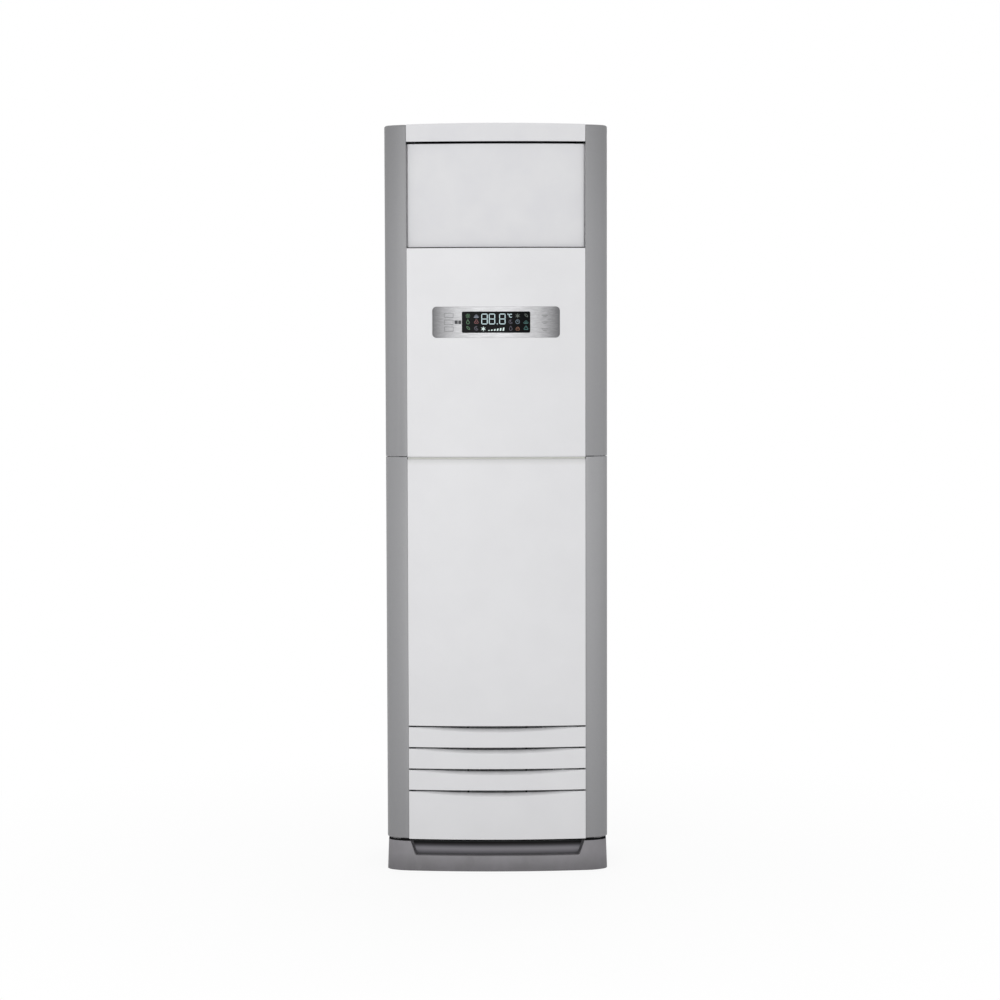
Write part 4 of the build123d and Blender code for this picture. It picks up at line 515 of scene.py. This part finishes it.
def true_normals(mesh, broad_mm=20, near_degrees=1.0):
    """Gives the bowed faces the normals of the true curve, and every broad flat face its own."""
    normals = [Vector(corner.vector) for corner in mesh.corner_normals]
    for face in mesh.polygons:
        corners = [mesh.vertices[v].co for v in face.vertices]
        longest = max((a - b).length for a, b in zip(corners, corners[1:] + corners[:1]))
        broad = face.area > broad_mm * MM * longest
        for corner in face.loop_indices:
            share = mesh.vertices[mesh.loops[corner].vertex_index].co.x / (BOW_RADIUS * MM)
            true = Vector((share, -math.sqrt(1 - share**2), 0))
            if abs(face.normal.dot(true)) > math.cos(math.radians(near_degrees)):
                normals[corner] = true * math.copysign(1, face.normal.dot(true))
            elif broad:
                normals[corner] = face.normal.copy()
    mesh.normals_split_custom_set(normals)


def dress(node, finish, edge_mm, segments=2, shape=None):
    """Stands a rounded copy of a CAD node in for it."""
    shape = shape or merged(node)
    mesh = bpy.data.meshes.new(node)
    shape.to_mesh(mesh)
    shape.free()
    mesh = rounded(mesh, node, edge_mm, segments)
    true_normals(mesh)
    piece = stand(node + "_moulding", mesh, finish, BODY_OF[node])
    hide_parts(node)


def paint(node, finish):
    """Gives a CAD node that stays on show its material."""
    nodes[node].data.materials.clear()
    nodes[node].data.materials.append(finish)


# ------------------------------------------------------------------ closed shapes from outlines
def closed(make, near=0.001):
    """A mesh from a function that adds faces in millimetres to an open shape."""
    shape = bmesh.new()
    make(shape)
    bmesh.ops.remove_doubles(shape, verts=shape.verts, dist=near)
    bmesh.ops.recalc_face_normals(shape, faces=shape.faces)
    bmesh.ops.scale(shape, vec=(MM, MM, MM), verts=shape.verts)
    mesh = bpy.data.meshes.new("closed")
    shape.to_mesh(mesh)
    shape.free()
    return mesh


def skin(shape, rings):
    """Adds a closed skin over rings of points: walls from each ring to the next, and an end on both."""
    rows = [[shape.verts.new(point) for point in ring] for ring in rings]
    for near, far in zip(rows, rows[1:]):
        for n in range(len(near)):
            m = (n + 1) % len(near)
            shape.faces.new((near[n], near[m], far[m], far[n]))
    shape.faces.new(rows[0])
    shape.faces.new(rows[-1])


def post(shape, outline, low, high):
    """Adds a closed post over an outline of (x, y), between two heights."""
    skin(shape, [[(x, y, z) for x, y in outline] for z in (low, high)])


def plaque(shape, outline, near, far):
    """Adds a closed plate with an outline of (x, z), between two depths y."""
    skin(shape, [[(x, y, z) for x, z in outline] for y in (near, far)])


def prism(shape, outline, near, far):
    """Adds a closed prism whose outline is given as (x, z) on the front, between two depths behind it."""
    skin(shape, [[(x, front_at(x) + depth, z) for x, z in outline] for depth in (near, far)])


def tile(shape, columns, near, far):
    """Adds a closed tile between two depths behind the front; columns are (x, low z, high z)."""
    skin(shape, [
        [(x, front_at(x) + depth, z) for depth, z in ((near, low), (near, high), (far, high), (far, low))]
        for x, low, high in columns
    ])


def bar(half_x, half_y, half_z):
    """A closed straight bar about the origin."""
    outline = [(-half_x, -half_y), (half_x, -half_y), (half_x, half_y), (-half_x, half_y)]
    return closed(lambda s: post(s, outline, -half_z, half_z))


def spread(half, gap=12.0):
    """Places across the front from one side to the other, evenly and about a gap apart."""
    count = math.ceil(2 * half / gap)
    return [half * (2 * n / count - 1) for n in range(count + 1)]


def rounded_columns(middle, half, tall_half, radius, steps=6, gap=12):
    """Columns of a rounded rectangle, closer together round its corners."""
    turns = [math.pi / 2 * n / steps for n in range(1, steps + 1)]
    corner = [
        (half - radius + radius * math.cos(t), tall_half - radius + radius * math.sin(t)) for t in turns
    ]
    flat = int(2 * (half - radius) / gap)
    inner = [((half - radius) * (1 - 2 * n / flat), tall_half) for n in range(1, flat)]
    left = [(-x, tall) for x, tall in reversed(corner)]
    outline = [(half, tall_half - radius)] + corner + inner + left + [(-half, tall_half - radius)]
    return [(x, middle - tall, middle + tall) for x, tall in outline]


def away(middle, radius, turn):
    """The point (x, z) at a radius from a middle, by degrees from +X towards up."""
    turn = math.radians(turn)
    return middle[0] + radius * math.cos(turn), middle[1] + radius * math.sin(turn)


def arc(middle, radius, first, last, steps=10):
    """Points (x, z) along an arc, by degrees from +X towards up."""
    return [away(middle, radius, first + (last - first) * n / steps) for n in range(steps + 1)]


def stroke(shape, points, wide, near, far, ring=False):
    """Adds bars of one width between points (x, z) on the front, closed round to the first for a ring."""
    for (x0, z0), (x1, z1) in zip(points, points[1:] + points[:1] if ring else points[1:]):
        along = Vector((x1 - x0, z1 - z0)).normalized()
        side = Vector((-along.y, along.x)) * wide / 2
        prism(shape, [
            (x0 + side.x, z0 + side.y), (x0 - side.x, z0 - side.y),
            (x1 - side.x, z1 - side.y), (x1 + side.x, z1 + side.y),
        ], near, far)


# ------------------------------------------------------------------ geometry nodes: what repeats
def copies(name, unit, finish, body, slot, **sizes):
    """Copies of a unit mesh on a grid from Start: Count A of them by Step A, and Count B rows by Step B."""
    tree = bpy.data.node_groups.new(name + "_rule", "GeometryNodeTree")
    kinds = {int: "NodeSocketInt", tuple: "NodeSocketVector"}
    tree.interface.new_socket("Unit", in_out="INPUT", socket_type="NodeSocketGeometry")
    asked = {"Start": (0, 0, 0), "Step A": (0, 0, 0), "Step B": (0, 0, 0), "Count A": 1, "Count B": 1}
    asked.update({key.replace("_", " "): value for key, value in sizes.items()})
    for label, value in asked.items():
        tree.interface.new_socket(label, in_out="INPUT", socket_type=kinds[type(value)])
    tree.interface.new_socket("Mesh", in_out="OUTPUT", socket_type="NodeSocketGeometry")
    given = add(tree, "NodeGroupInput").outputs
    row = add(tree, "GeometryNodeMeshLine", {
        "Count": given["Count A"], "Start Location": given["Start"], "Offset": given["Step A"],
    })
    column = add(tree, "GeometryNodeMeshLine", {"Count": given["Count B"], "Offset": given["Step B"]})
    grid = add(tree, "GeometryNodeInstanceOnPoints", {
        "Points": column.outputs["Mesh"], "Instance": row.outputs["Mesh"],
    })
    places = add(tree, "GeometryNodeRealizeInstances", {"Geometry": grid.outputs["Instances"]})
    units = add(tree, "GeometryNodeInstanceOnPoints", {
        "Points": places.outputs["Geometry"], "Instance": given["Unit"],
    })
    real = add(tree, "GeometryNodeRealizeInstances", {"Geometry": units.outputs["Instances"]})
    painted = add(tree, "GeometryNodeSetMaterial", {
        "Geometry": real.outputs["Geometry"], "Material": finish,
    })
    add(tree, "NodeGroupOutput", {"Mesh": painted.outputs["Geometry"]})

    work = bpy.data.objects.new(name + "_work", unit)
    bpy.context.scene.collection.objects.link(work)
    modifier = work.modifiers.new(name, "NODES")
    modifier.node_group = tree
    for item in tree.interface.items_tree:
        if item.in_out == "INPUT" and item.name in asked:
            value = asked[item.name]
            modifier[item.identifier] = value if isinstance(value, int) else [v * MM for v in value]
    return stand(name, plain_mesh(work), finish, body)


# ------------------------------------------------------------------ the mouldings of the case
dress("upper_front_panel", white_abs, 0.7, shape=rolled_edge(bowed("upper_front_panel"), SEAM[1], 1))
dress("lower_front_panel", white_abs, 0.7, shape=rolled_edge(bowed("lower_front_panel"), SEAM[0], -1))
dress("top_cover", cap_abs, 0.8, shape=bowed("top_cover"))
dress("outlet_door", cap_abs, 0.7, shape=bowed("outlet_door"))
for name, side in (("left", -1), ("right", 1)):
    dress(f"upper_{name}_pillar", silver_lacquer, 0.6)
    lower = soft_foot(f"lower_{name}_pillar", PILLAR_FOOT, side)
    dress(f"lower_{name}_pillar", silver_lacquer, 0.6, shape=lower)
dress("plinth", plinth_abs, 1.4, segments=3, shape=bowed("plinth"))
for node in ("left_side_panel", "right_side_panel"):
    dress(node, powder_steel, 0.3)
for node in ("upper_back_panel", "lower_back_panel", "wall_bracket"):
    dress(node, zinc_steel, 0.25)
dress("display_plate", brushed_foil, 0.25, shape=bowed("display_plate"))
for n in range(1, 6):
    dress(f"louvre_blade_{n}", pale_abs, 0.4)
for n in range(1, 7):
    dress(f"air_vane_{n}", vane_abs, 0.3)

FINISHES = (
    (zinc_steel, "base_pan shelf blower_housing inlet_ring motor_bracket control_box control_cover"),
    (zinc_steel, "evaporator_ends"),
    (black_abs, "display_housing filter_frame terminal_block"),
    (duct_abs, "outlet_duct"),
    (pale_abs, "louvre_link vane_link door_racks pinion_shaft door_guides"),
    (circuit, "display_board control_board"),
    (wheel_nylon, "blower_wheel"),
    (plated_steel, "fan_shaft case_screws"),
    (motor_enamel, "fan_motor door_motor swing_motors"),
    (fin_foil, "evaporator_fins"),
    (copper, "evaporator_coil refrigerant_pipes"),
    (brass, "flare_nuts"),
    (foam, "drain_pan"),
    (hose_pvc, "drain_pipe"),
    (rubber, "grommets"),
)
for finish, members in FINISHES:
    for node in members.split():
        paint(node, finish)


# ------------------------------------------------------------------ seals and painted shade in the joints of the front
def seam_strip():
    """A pale foam strip just behind the seam of the front panels."""
    low, high = SEAM[0] + 0.2, SEAM[1] - 0.2
    strip = closed(lambda s: tile(s, [(x, low, high) for x in spread(201.0)], 2.0, 5))
    stand("seam_strip", strip, pale_seal, "cabinet")


def recess_shade_lining():
    """The lining of the foot's recess, with painted shade, and dark rubber beads round its two ends and its
    floor as painted shade in its corners.
    """
    floor, top, floor_half, top_half = RECESS
    lean = (top_half - floor_half) / (top - floor)
    floor_bead = 37.7
    end_bead = ((195.8, 67.5), (188.6, 46.0), (184.6, 39.4), (179.0, floor_bead))
    proud = (RECESS_BACK - 1.4, RECESS_BACK - 0.3)

    def lining(shape):
        columns = [
            (x, max(floor + 0.3, floor + (abs(x) + 0.5 - floor_half) / lean), top - 0.1)
            for x in spread(top_half - 1.0, 6.0)
        ]
        tile(shape, columns, RECESS_BACK - 0.5, RECESS_BACK - 0.04)

    def bead(shape):
        for side in (-1, 1):
            stroke(shape, [(side * x, z) for x, z in end_bead], 4.6, *proud)
        stroke(shape, [(x, floor_bead) for x in spread(179.0)], 3.6, *proud)

    stand("recess_shade_lining", closed(lining), recess_shade_abs, "cabinet")
    stand("recess_shade_bead", closed(bead), recess_shade_rubber, "cabinet")


def door_gap_shade():
    """A black strip on the upper panel's top edge, up to the face of the door that runs down behind it:
    painted shade in that joint.
    """
    low, high = 1419.9, 1422.2
    strip = closed(lambda s: tile(s, [(x, low, high) for x in spread(200.5)], 3.0, 11.6))
    stand("door_gap_shade", strip, black_seal_and_shade, "cabinet")


def duct_foam():
    """A black bar of foam between the top of the outlet duct and the top cover."""
    half, front, back, low, high = 184, -60, -52, 1656.6, 1694.8
    outline = [(-half, front), (half, front), (half, back), (-half, back)]
    foam_bar = closed(lambda s: post(s, outline, low, high))
    stand("duct_foam", foam_bar, black_seal_and_shade, "cabinet")


def pillar_outline(inset, steps=6, back=-102.0):
    """Points (x, y) of the right pillar's outside, from its inner edge to its side wall, moved inwards."""
    edge, corner = PILLAR_EDGE, PILLAR_CORNER
    face, turned = PILLAR_FACE
    first = math.asin(edge / BOW_RADIUS)
    last = math.radians(turned)
    x, y = edge - face * math.sin(first), front_at(edge) + face * math.cos(first)
    points = [
        (x + (face - inset) * math.sin(t), y - (face - inset) * math.cos(t))
        for t in [first + (last - first) * n / steps for n in range(steps + 1)]
    ]
    x, y = x + (face - corner) * math.sin(last), y - (face - corner) * math.cos(last)
    points += [
        (x + (corner - inset) * math.sin(t), y - (corner - inset) * math.cos(t))
        for t in [last + (math.pi / 2 - last) * n / steps for n in range(1, steps + 1)]
    ]
    return points + [(CASE_SIDE - inset, back)]


def foot_gap_shade():
    """Black foam between the top of the plinth and the foot of each pillar, set back from both: painted
    shade in that gap.
    """
    def ribbons(shape):
        outline = pillar_outline(3.3) + pillar_outline(5.0)[::-1]
        for side in (-1, 1):
            post(shape, [(side * x, y) for x, y in outline], 68.0, 72.2)
    stand("foot_gap_shade", closed(ribbons), black_seal_and_shade, "cabinet")


def slit_end_shade():
    """Black foam in the shallow grooves that carry each intake slit on over the panel's side walls: painted
    shade that carries the slits' dark lines to the panel's edges.
    """
    def ends(shape):
        for low in SLITS:
            for side in (-1, 1):
                columns = [(side * x, low + 0.1, low + 3.9) for x in (199.6, 200.4, 201.3)]
                tile(shape, columns, 0.1, 0.9)
    stand("slit_end_shade", closed(ends), black_seal_and_shade, "intake_panel")


seam_strip()
recess_shade_lining()
door_gap_shade()
duct_foam()
foot_gap_shade()
slit_end_shade()

# ------------------------------------------------------------------ display
FILM = (0.2, 0.32)          # depths of the lit film: it stands 0.1 mm out of the window
DIGIT = (14.2, 24.0)        # width and height of a digit
SEGMENT = 1.75              # width of a digit's segments
ICON = 10.6                 # width of an icon
ROWS = [PLATE_MIDDLE + z for z in (14.2, 0.8, -13.8)]       # heights of the three rows of icons


def display_window():
    """The dark window, a little behind the face of its plate."""
    columns = rounded_columns(PLATE_MIDDLE, 76.9, 23.65, 3)
    mesh = rounded(closed(lambda s: tile(s, columns, 0.3, 3.0)), "window", 0.2)
    piece = stand("display_window", mesh, smoked_window, "cabinet")
    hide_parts("display_lens")


def digit(shape, left, low, gap=0.35):
    """Adds the seven segments of an 8, each a bar with pointed ends, a gap from where they would meet."""
    wide, tall = DIGIT
    inset = SEGMENT / 2
    x0, x1 = left + inset, left + wide - inset
    heights = [low + inset, low + tall / 2, low + tall - inset]
    spans = [((x0, z), (x1, z)) for z in heights]
    spans += [((x, z0), (x, z1)) for x in (x0, x1) for z0, z1 in zip(heights, heights[1:])]
    for (xa, za), (xb, zb) in spans:
        along = Vector((xb - xa, zb - za)).normalized()
        side = Vector((-along.y, along.x))
        a = Vector((xa, za)) + along * gap
        b = Vector((xb, zb)) - along * gap
        prism(shape, [tuple(c) for c in (
            a, a + (along + side) * inset, b + (side - along) * inset, b,
            b - (along + side) * inset, a + (along - side) * inset,
        )], *FILM)


def star(shape, middle, radius, arms, wide, inner=0.0):
    """Adds straight arms about a middle, as of a sun or a flake."""
    for n in range(arms):
        turn = 90 + 360 * n / arms
        stroke(shape, [away(middle, reach, turn) for reach in (inner, radius)], wide, *FILM)


def icon(shape, kind, x, z, size):
    """Adds one plain icon about a middle, size across."""
    r = size / 2
    wide = size * 0.11

    def draw(points, ring=False):
        stroke(shape, points, wide, *FILM, ring=ring)

    if kind == "sun":
        draw(arc((x, z), r * 0.45, 0, 360, 12))
        star(shape, (x, z), r, 8, wide, r * 0.68)
    elif kind == "flake":
        star(shape, (x, z), r, 6, wide)
        star(shape, (x, z), r * 0.55, 12, wide)
    elif kind == "drop":
        draw([(x, z + r)] + arc((x, z - r * 0.3), r * 0.62, 150, 390, 12) + [(x, z + r)])
    elif kind == "fan":
        for turn in (90, 210, 330):
            draw(arc(away((x, z), r * 0.5, turn), r * 0.42, turn - 150, turn + 120, 8))
    elif kind == "moon":
        draw(arc((x, z), r * 0.8, 60, 330))
        draw(arc((x + r * 0.35, z + r * 0.3), r * 0.55, 110, 290))
    elif kind == "clock":
        draw(arc((x, z), r * 0.85, 0, 360, 14))
        draw([(x, z + r * 0.55), (x, z), (x + r * 0.4, z - r * 0.15)])
    elif kind == "swing":
        for share in (0.35, 0.65, 0.95):
            draw(arc((x, z + r * 0.9), r * 1.8 * share, 230, 310, 6))
    elif kind == "leaf":
        draw(arc((x - r * 0.5, z - r * 0.5), r * 1.3, 0, 90))
        draw(arc((x + r * 0.8, z + r * 0.8), r * 1.3, 180, 270))
    elif kind == "lock":
        half, low = r * 0.7, z - r * 0.8
        draw([(x - half, low), (x + half, low), (x + half, z), (x - half, z)], ring=True)
        draw(arc((x, z), r * 0.5, 0, 180, 8))


def lamps(name, code, strength, make):
    """One colour of lit film, as one piece."""
    stand(name, closed(make), lit(name + "_film", code, strength), "cabinet")


def show_digits(shape):
    """Adds 88.8 and the sign for degrees Celsius."""
    low = PLATE_MIDDLE - 4.9
    for left in (-33.3, -16.3, 7.0):
        digit(shape, left, low)
    prism(shape, [(1.6, low), (3.6, low), (3.6, low + 2), (1.6, low + 2)], *FILM)
    stroke(shape, arc((27.2, low + 22.3), 1.4, 0, 360, 10), 0.8, *FILM)
    stroke(shape, arc((33.3, low + 19.4), 3.6, 50, 310, 10), 1.5, *FILM)


def show_fan_speed(shape):
    """Adds the white row: a flake and the slanted bars of the fan's speed, each taller than the last."""
    low = PLATE_MIDDLE - 20
    icon(shape, "flake", -28.8, low + 5, 10.5)
    foot = low + 0.6
    for n in range(6):
        x = -18.5 + 6.6 * n
        top = low + 2.2 + 1.1 * n
        prism(shape, [(x, foot), (x + 3.4, foot), (x + 4.4, top), (x + 1.0, top)], *FILM)


display_window()
lamps("digits", "#cfe9ee", 0.9, show_digits)
lamps("fan_speed", "#dff3ef", 0.85, show_fan_speed)
ICONS = (
    ("green_icons", "#4a9c5a", 0.42, (("sun", -63.7, 0), ("drop", -63.7, 1), ("leaf", -63.7, 2))),
    ("white_icons", "#b9c2d8", 0.5, (("swing", -44.6, 0),)),
    ("red_icons", "#a8383a", 0.42, (("fan", -44.6, 1),)),
    ("violet_icons", "#56506e", 0.4, (("moon", -44.6, 2), ("moon", 33.0, 1), ("drop", 33.0, 2))),
    ("grey_icons", "#6d7a70", 0.45, (("flake", 48.7, 0), ("leaf", 67.4, 0))),
    ("blue_icons", "#7f9aae", 0.45, (("clock", 48.7, 1),)),
    ("orange_icons", "#9a5a34", 0.5, (("lock", 48.7, 2),)),
    ("teal_icons", "#3f8c86", 0.48, (("swing", 67.4, 1), ("fan", 67.4, 2))),
)
for name, code, strength, members in ICONS:
    lamps(name, code, strength, lambda s: [icon(s, kind, x, ROWS[row], ICON) for kind, x, row in members])


def receiver():
    """Two small dark windows for the remote control's light, left of the display."""
    def panes(shape):
        for sides in ((-93.8, -86.6), (-85.4, -78.6)):
            tile(shape, [(x, PLATE_MIDDLE - 4, PLATE_MIDDLE + 4) for x in sides], -0.08, 0.2)
    stand("receiver_panes", closed(panes), duct_abs, "cabinet")


def key_marks():
    """Printed marks of the touch keys: outlines at the plate's left end, and pairs of bars at its right."""
    ink = (-0.06, 0.12)
    left, right, half_tall = -117.0, -97.0, 5.0

    def marks(shape):
        for row in (15.5, 0, -15.5):
            z = PLATE_MIDDLE + row
            low, high = z - half_tall, z + half_tall
            stroke(shape, [(left, low), (right, low), (right, high), (left, high)], 0.9, *ink, ring=True)
            stroke(shape, [(103, z), (117, z)], 1.2, *ink)
            stroke(shape, [(106, z - 3.4), (114, z - 3.4)], 0.9, *ink)
    stand("key_marks", closed(marks), key_ink, "cabinet")


receiver()
key_marks()


# ------------------------------------------------------------------ vents, net, entries, beads and screws
def vent_hoods():
    """Pressed hoods over the side vents, one quarter of a tube each, open downwards."""
    reach, tall, half, wall = 3.2, 8.0, 56.0, 0.8
    rows, pitch, middle_y, middle_z = 12, 24.0, 20.0, 291.0
    turns = [math.pi / 2 * n / 6 for n in range(7)]
    outer = [(reach * math.sin(t), tall * math.cos(t) - tall / 2) for t in turns]
    inner = [(max(0.0, a - wall), b - wall) for a, b in outer[1:-1]]
    profile = outer + [(reach - wall, -tall / 2)] + inner[::-1] + [(0.0, tall / 2 - 0.9)]
    taper = ((-half, 0.25), (-half + 4, 1.0), (half - 4, 1.0), (half, 0.25))
    for side, name in ((-1, "left"), (1, "right")):
        hood = closed(lambda s: skin(s, [[(side * a * k, y, b) for a, b in profile] for y, k in taper]))
        copies(
            f"{name}_vent_hoods", hood, powder_steel, "cabinet", "white_steel",
            Start=(side * (SHEET_SIDE + 0.02), middle_y, middle_z - (rows - 1) / 2 * pitch),
            Step_A=(0, 0, pitch), Count_A=rows,
        )


def filter_threads():
    """The filter's net. Its threads are about 1 mm apart; they are drawn 3 mm apart to show as threads."""
    half, tall, pitch, thick = 187.5, 108.0, 3.0, 0.3
    middle, depth = 260.0, -133.2
    uprights = copies(
        "net_uprights", bar(thick, thick, tall + 1.5), net_nylon, "intake_panel", "filter_mesh",
        Start=(-half, depth, middle), Step_A=(pitch, 0.0, 0.0), Count_A=round(2 * half / pitch) + 1,
    )
    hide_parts("filter_net")
    copies(
        "net_cross_threads", bar(half + 1.3, thick, thick), net_nylon, "intake_panel", "filter_mesh",
        Start=(0.0, depth + thick, middle - tall), Step_A=(0.0, 0.0, pitch),
        Count_A=round(2 * tall / pitch) + 1,
    )


def entry_seals():
    """Star-cut rubber in the two entries at the back: petals that part for a pipe or a cable."""
    middle_z, faces, point, slit = 175.0, (152.6, 153.6), 0.6, 0.02

    def petals(shape, middle_x, radius, count):
        for n in range(count):
            first, last = (360 * (n + share) / count for share in (slit, 1 - slit))
            tip = away((middle_x, middle_z), point, (first + last) / 2)
            plaque(shape, [tip] + arc((middle_x, middle_z), radius, first, last, 4), *faces)
    seals = closed(lambda s: (petals(s, 140.0, 29.9, 12), petals(s, 50.0, 6.4, 6)))
    stand("entry_seals", seals, rubber, "cabinet")


def back_beads():
    """Long pressed beads that stiffen the back panels."""
    half, tall, proud = 4.0, 150.0, 1.2
    section = ((-1, 0), (-0.6, 0.75), (0, 1), (0.6, 0.75), (1, 0), (0, -0.1))
    swell = (
        (-tall, 0.0), (-tall + 3, 0.8), (-tall + 8, 1.0), (tall - 8, 1.0), (tall - 3, 0.8), (tall, 0.0)
    )
    rings = [[(half * a * max(k, 0.3), proud * h * k, z) for a, h in section] for z, k in swell]
    for name, start in (("lower", 400.0), ("upper", 1090.0)):
        copies(
            f"{name}_back_beads", closed(lambda s: skin(s, rings)), zinc_steel, "cabinet",
            "galvanised_steel", Start=(-150.0, 155.72, start), Step_A=(100.0, 0, 0), Step_B=(0, 0, 350.0),
            Count_A=4, Count_B=2,
        )


def screw_cross_shade():
    """The cross recesses of the case screws as painted shade: thin dark crosses laid on the screw heads."""
    long, thick, faces = 2.2, 0.45, (157.2, 157.38)

    def crosses(shape):
        for x in (-238.0, 238.0):
            for z in (130.0, 480.0, 860.0, 950.0, 1300.0, 1600.0):
                for a, b in ((long, thick), (thick, long)):
                    plaque(shape, [(x - a, z - b), (x + a, z - b), (x + a, z + b), (x - a, z + b)], *faces)
    stand("screw_cross_shade", closed(crosses), black_abs, "cabinet")


vent_hoods()
filter_threads()
entry_seals()
back_beads()
screw_cross_shade()

# ------------------------------------------------------------------ floor, world and lights
WHITE = colour("#ffffff")


def seen_by_camera(tree):
    """1 for what the camera sees itself, in a mirror or through glass, and 0 for the light on things."""
    path = add(tree, "ShaderNodeLightPath")
    direct = add(tree, "ShaderNodeMath", {
        0: path.outputs["Is Camera Ray"], 1: path.outputs["Is Glossy Ray"],
    }, operation="MAXIMUM")
    return add(tree, "ShaderNodeMath", {
        0: direct.outputs[0], 1: path.outputs["Is Transmission Ray"],
    }, operation="MAXIMUM").outputs[0]


def lay_floor(half_metres=9):
    """A plain floor: pale to the light that it throws back, and white to the camera but for the shadow.

    Its shadowed share fades out between 0.5 and 1.6 m from the object, to meet the backdrop as white.
    """
    corners = [(half_metres * x, half_metres * y, 0) for x, y in ((-1, -1), (1, -1), (1, 1), (-1, 1))]
    mesh = bpy.data.meshes.new("floor")
    mesh.from_pydata(corners, [], [(0, 1, 2, 3)])
    made = bpy.data.materials.new("pale_floor")
    made.use_nodes = True
    tree = made.node_tree
    tree.nodes.clear()
    pale = add(tree, "ShaderNodeBsdfDiffuse", {"Color": colour("#cfcfcf")})
    shaded = add(tree, "ShaderNodeBsdfDiffuse", {"Color": WHITE})
    bright = add(tree, "ShaderNodeEmission", {"Color": WHITE, "Strength": 1.0})
    where = add(tree, "ShaderNodeTexCoord").outputs["Object"]
    out_from = add(tree, "ShaderNodeVectorMath", {0: where}, operation="LENGTH").outputs["Value"]
    share = add(tree, "ShaderNodeMapRange", {
        "Value": out_from, "From Min": 0.5, "From Max": 1.6, "To Min": 0.88, "To Max": 1.0,
    }).outputs["Result"]
    seen = add(tree, "ShaderNodeMixShader", {
        0: share, 1: shaded.outputs["BSDF"], 2: bright.outputs["Emission"],
    })
    both = add(tree, "ShaderNodeMixShader", {
        0: seen_by_camera(tree), 1: pale.outputs["BSDF"], 2: seen.outputs["Shader"],
    })
    add(tree, "ShaderNodeOutputMaterial", {"Surface": both.outputs["Shader"]})
    mesh.materials.append(made)
    floor = bpy.data.objects.new("floor", mesh)
    bpy.context.scene.collection.objects.link(floor)


def light_world(level):
    """An even white light on the object, and white for what the camera sees."""
    world = bpy.data.worlds.new("studio")
    world.use_nodes = True
    tree = world.node_tree
    tree.nodes.clear()
    soft = add(tree, "ShaderNodeBackground", {"Color": WHITE, "Strength": level})
    white = add(tree, "ShaderNodeBackground", {"Color": WHITE, "Strength": 1.0})
    both = add(tree, "ShaderNodeMixShader", {
        0: seen_by_camera(tree), 1: soft.outputs["Background"], 2: white.outputs["Background"],
    })
    add(tree, "ShaderNodeOutputWorld", {"Surface": both.outputs["Shader"]})
    bpy.context.scene.world = world


def hang_lamp(name, place, aim, size, power):
    """A soft square lamp at a place in metres, aimed at a point."""
    data = bpy.data.lights.new(name, "AREA")
    data.shape = "SQUARE"
    data.size = size
    data.energy = power
    lamp = bpy.data.objects.new(name, data)
    bpy.context.scene.collection.objects.link(lamp)
    lamp.location = place
    lamp.rotation_euler = (Vector(aim) - Vector(place)).to_track_quat("-Z", "Y").to_euler()


lay_floor()
light_world(level=0.60)
hang_lamp("key", (-1.9, -7.1, 2.0), aim=(0, 0, 0.7), size=5.0, power=176)
hang_lamp("fill", (3.4, -6.5, 1.7), aim=(0, 0, 0.6), size=5.0, power=70)
hang_lamp("rear", (0.5, 5.0, 3.0), aim=(0, 0, 0.9), size=4.0, power=110)
bpy.context.scene.view_settings.view_transform = "Standard"
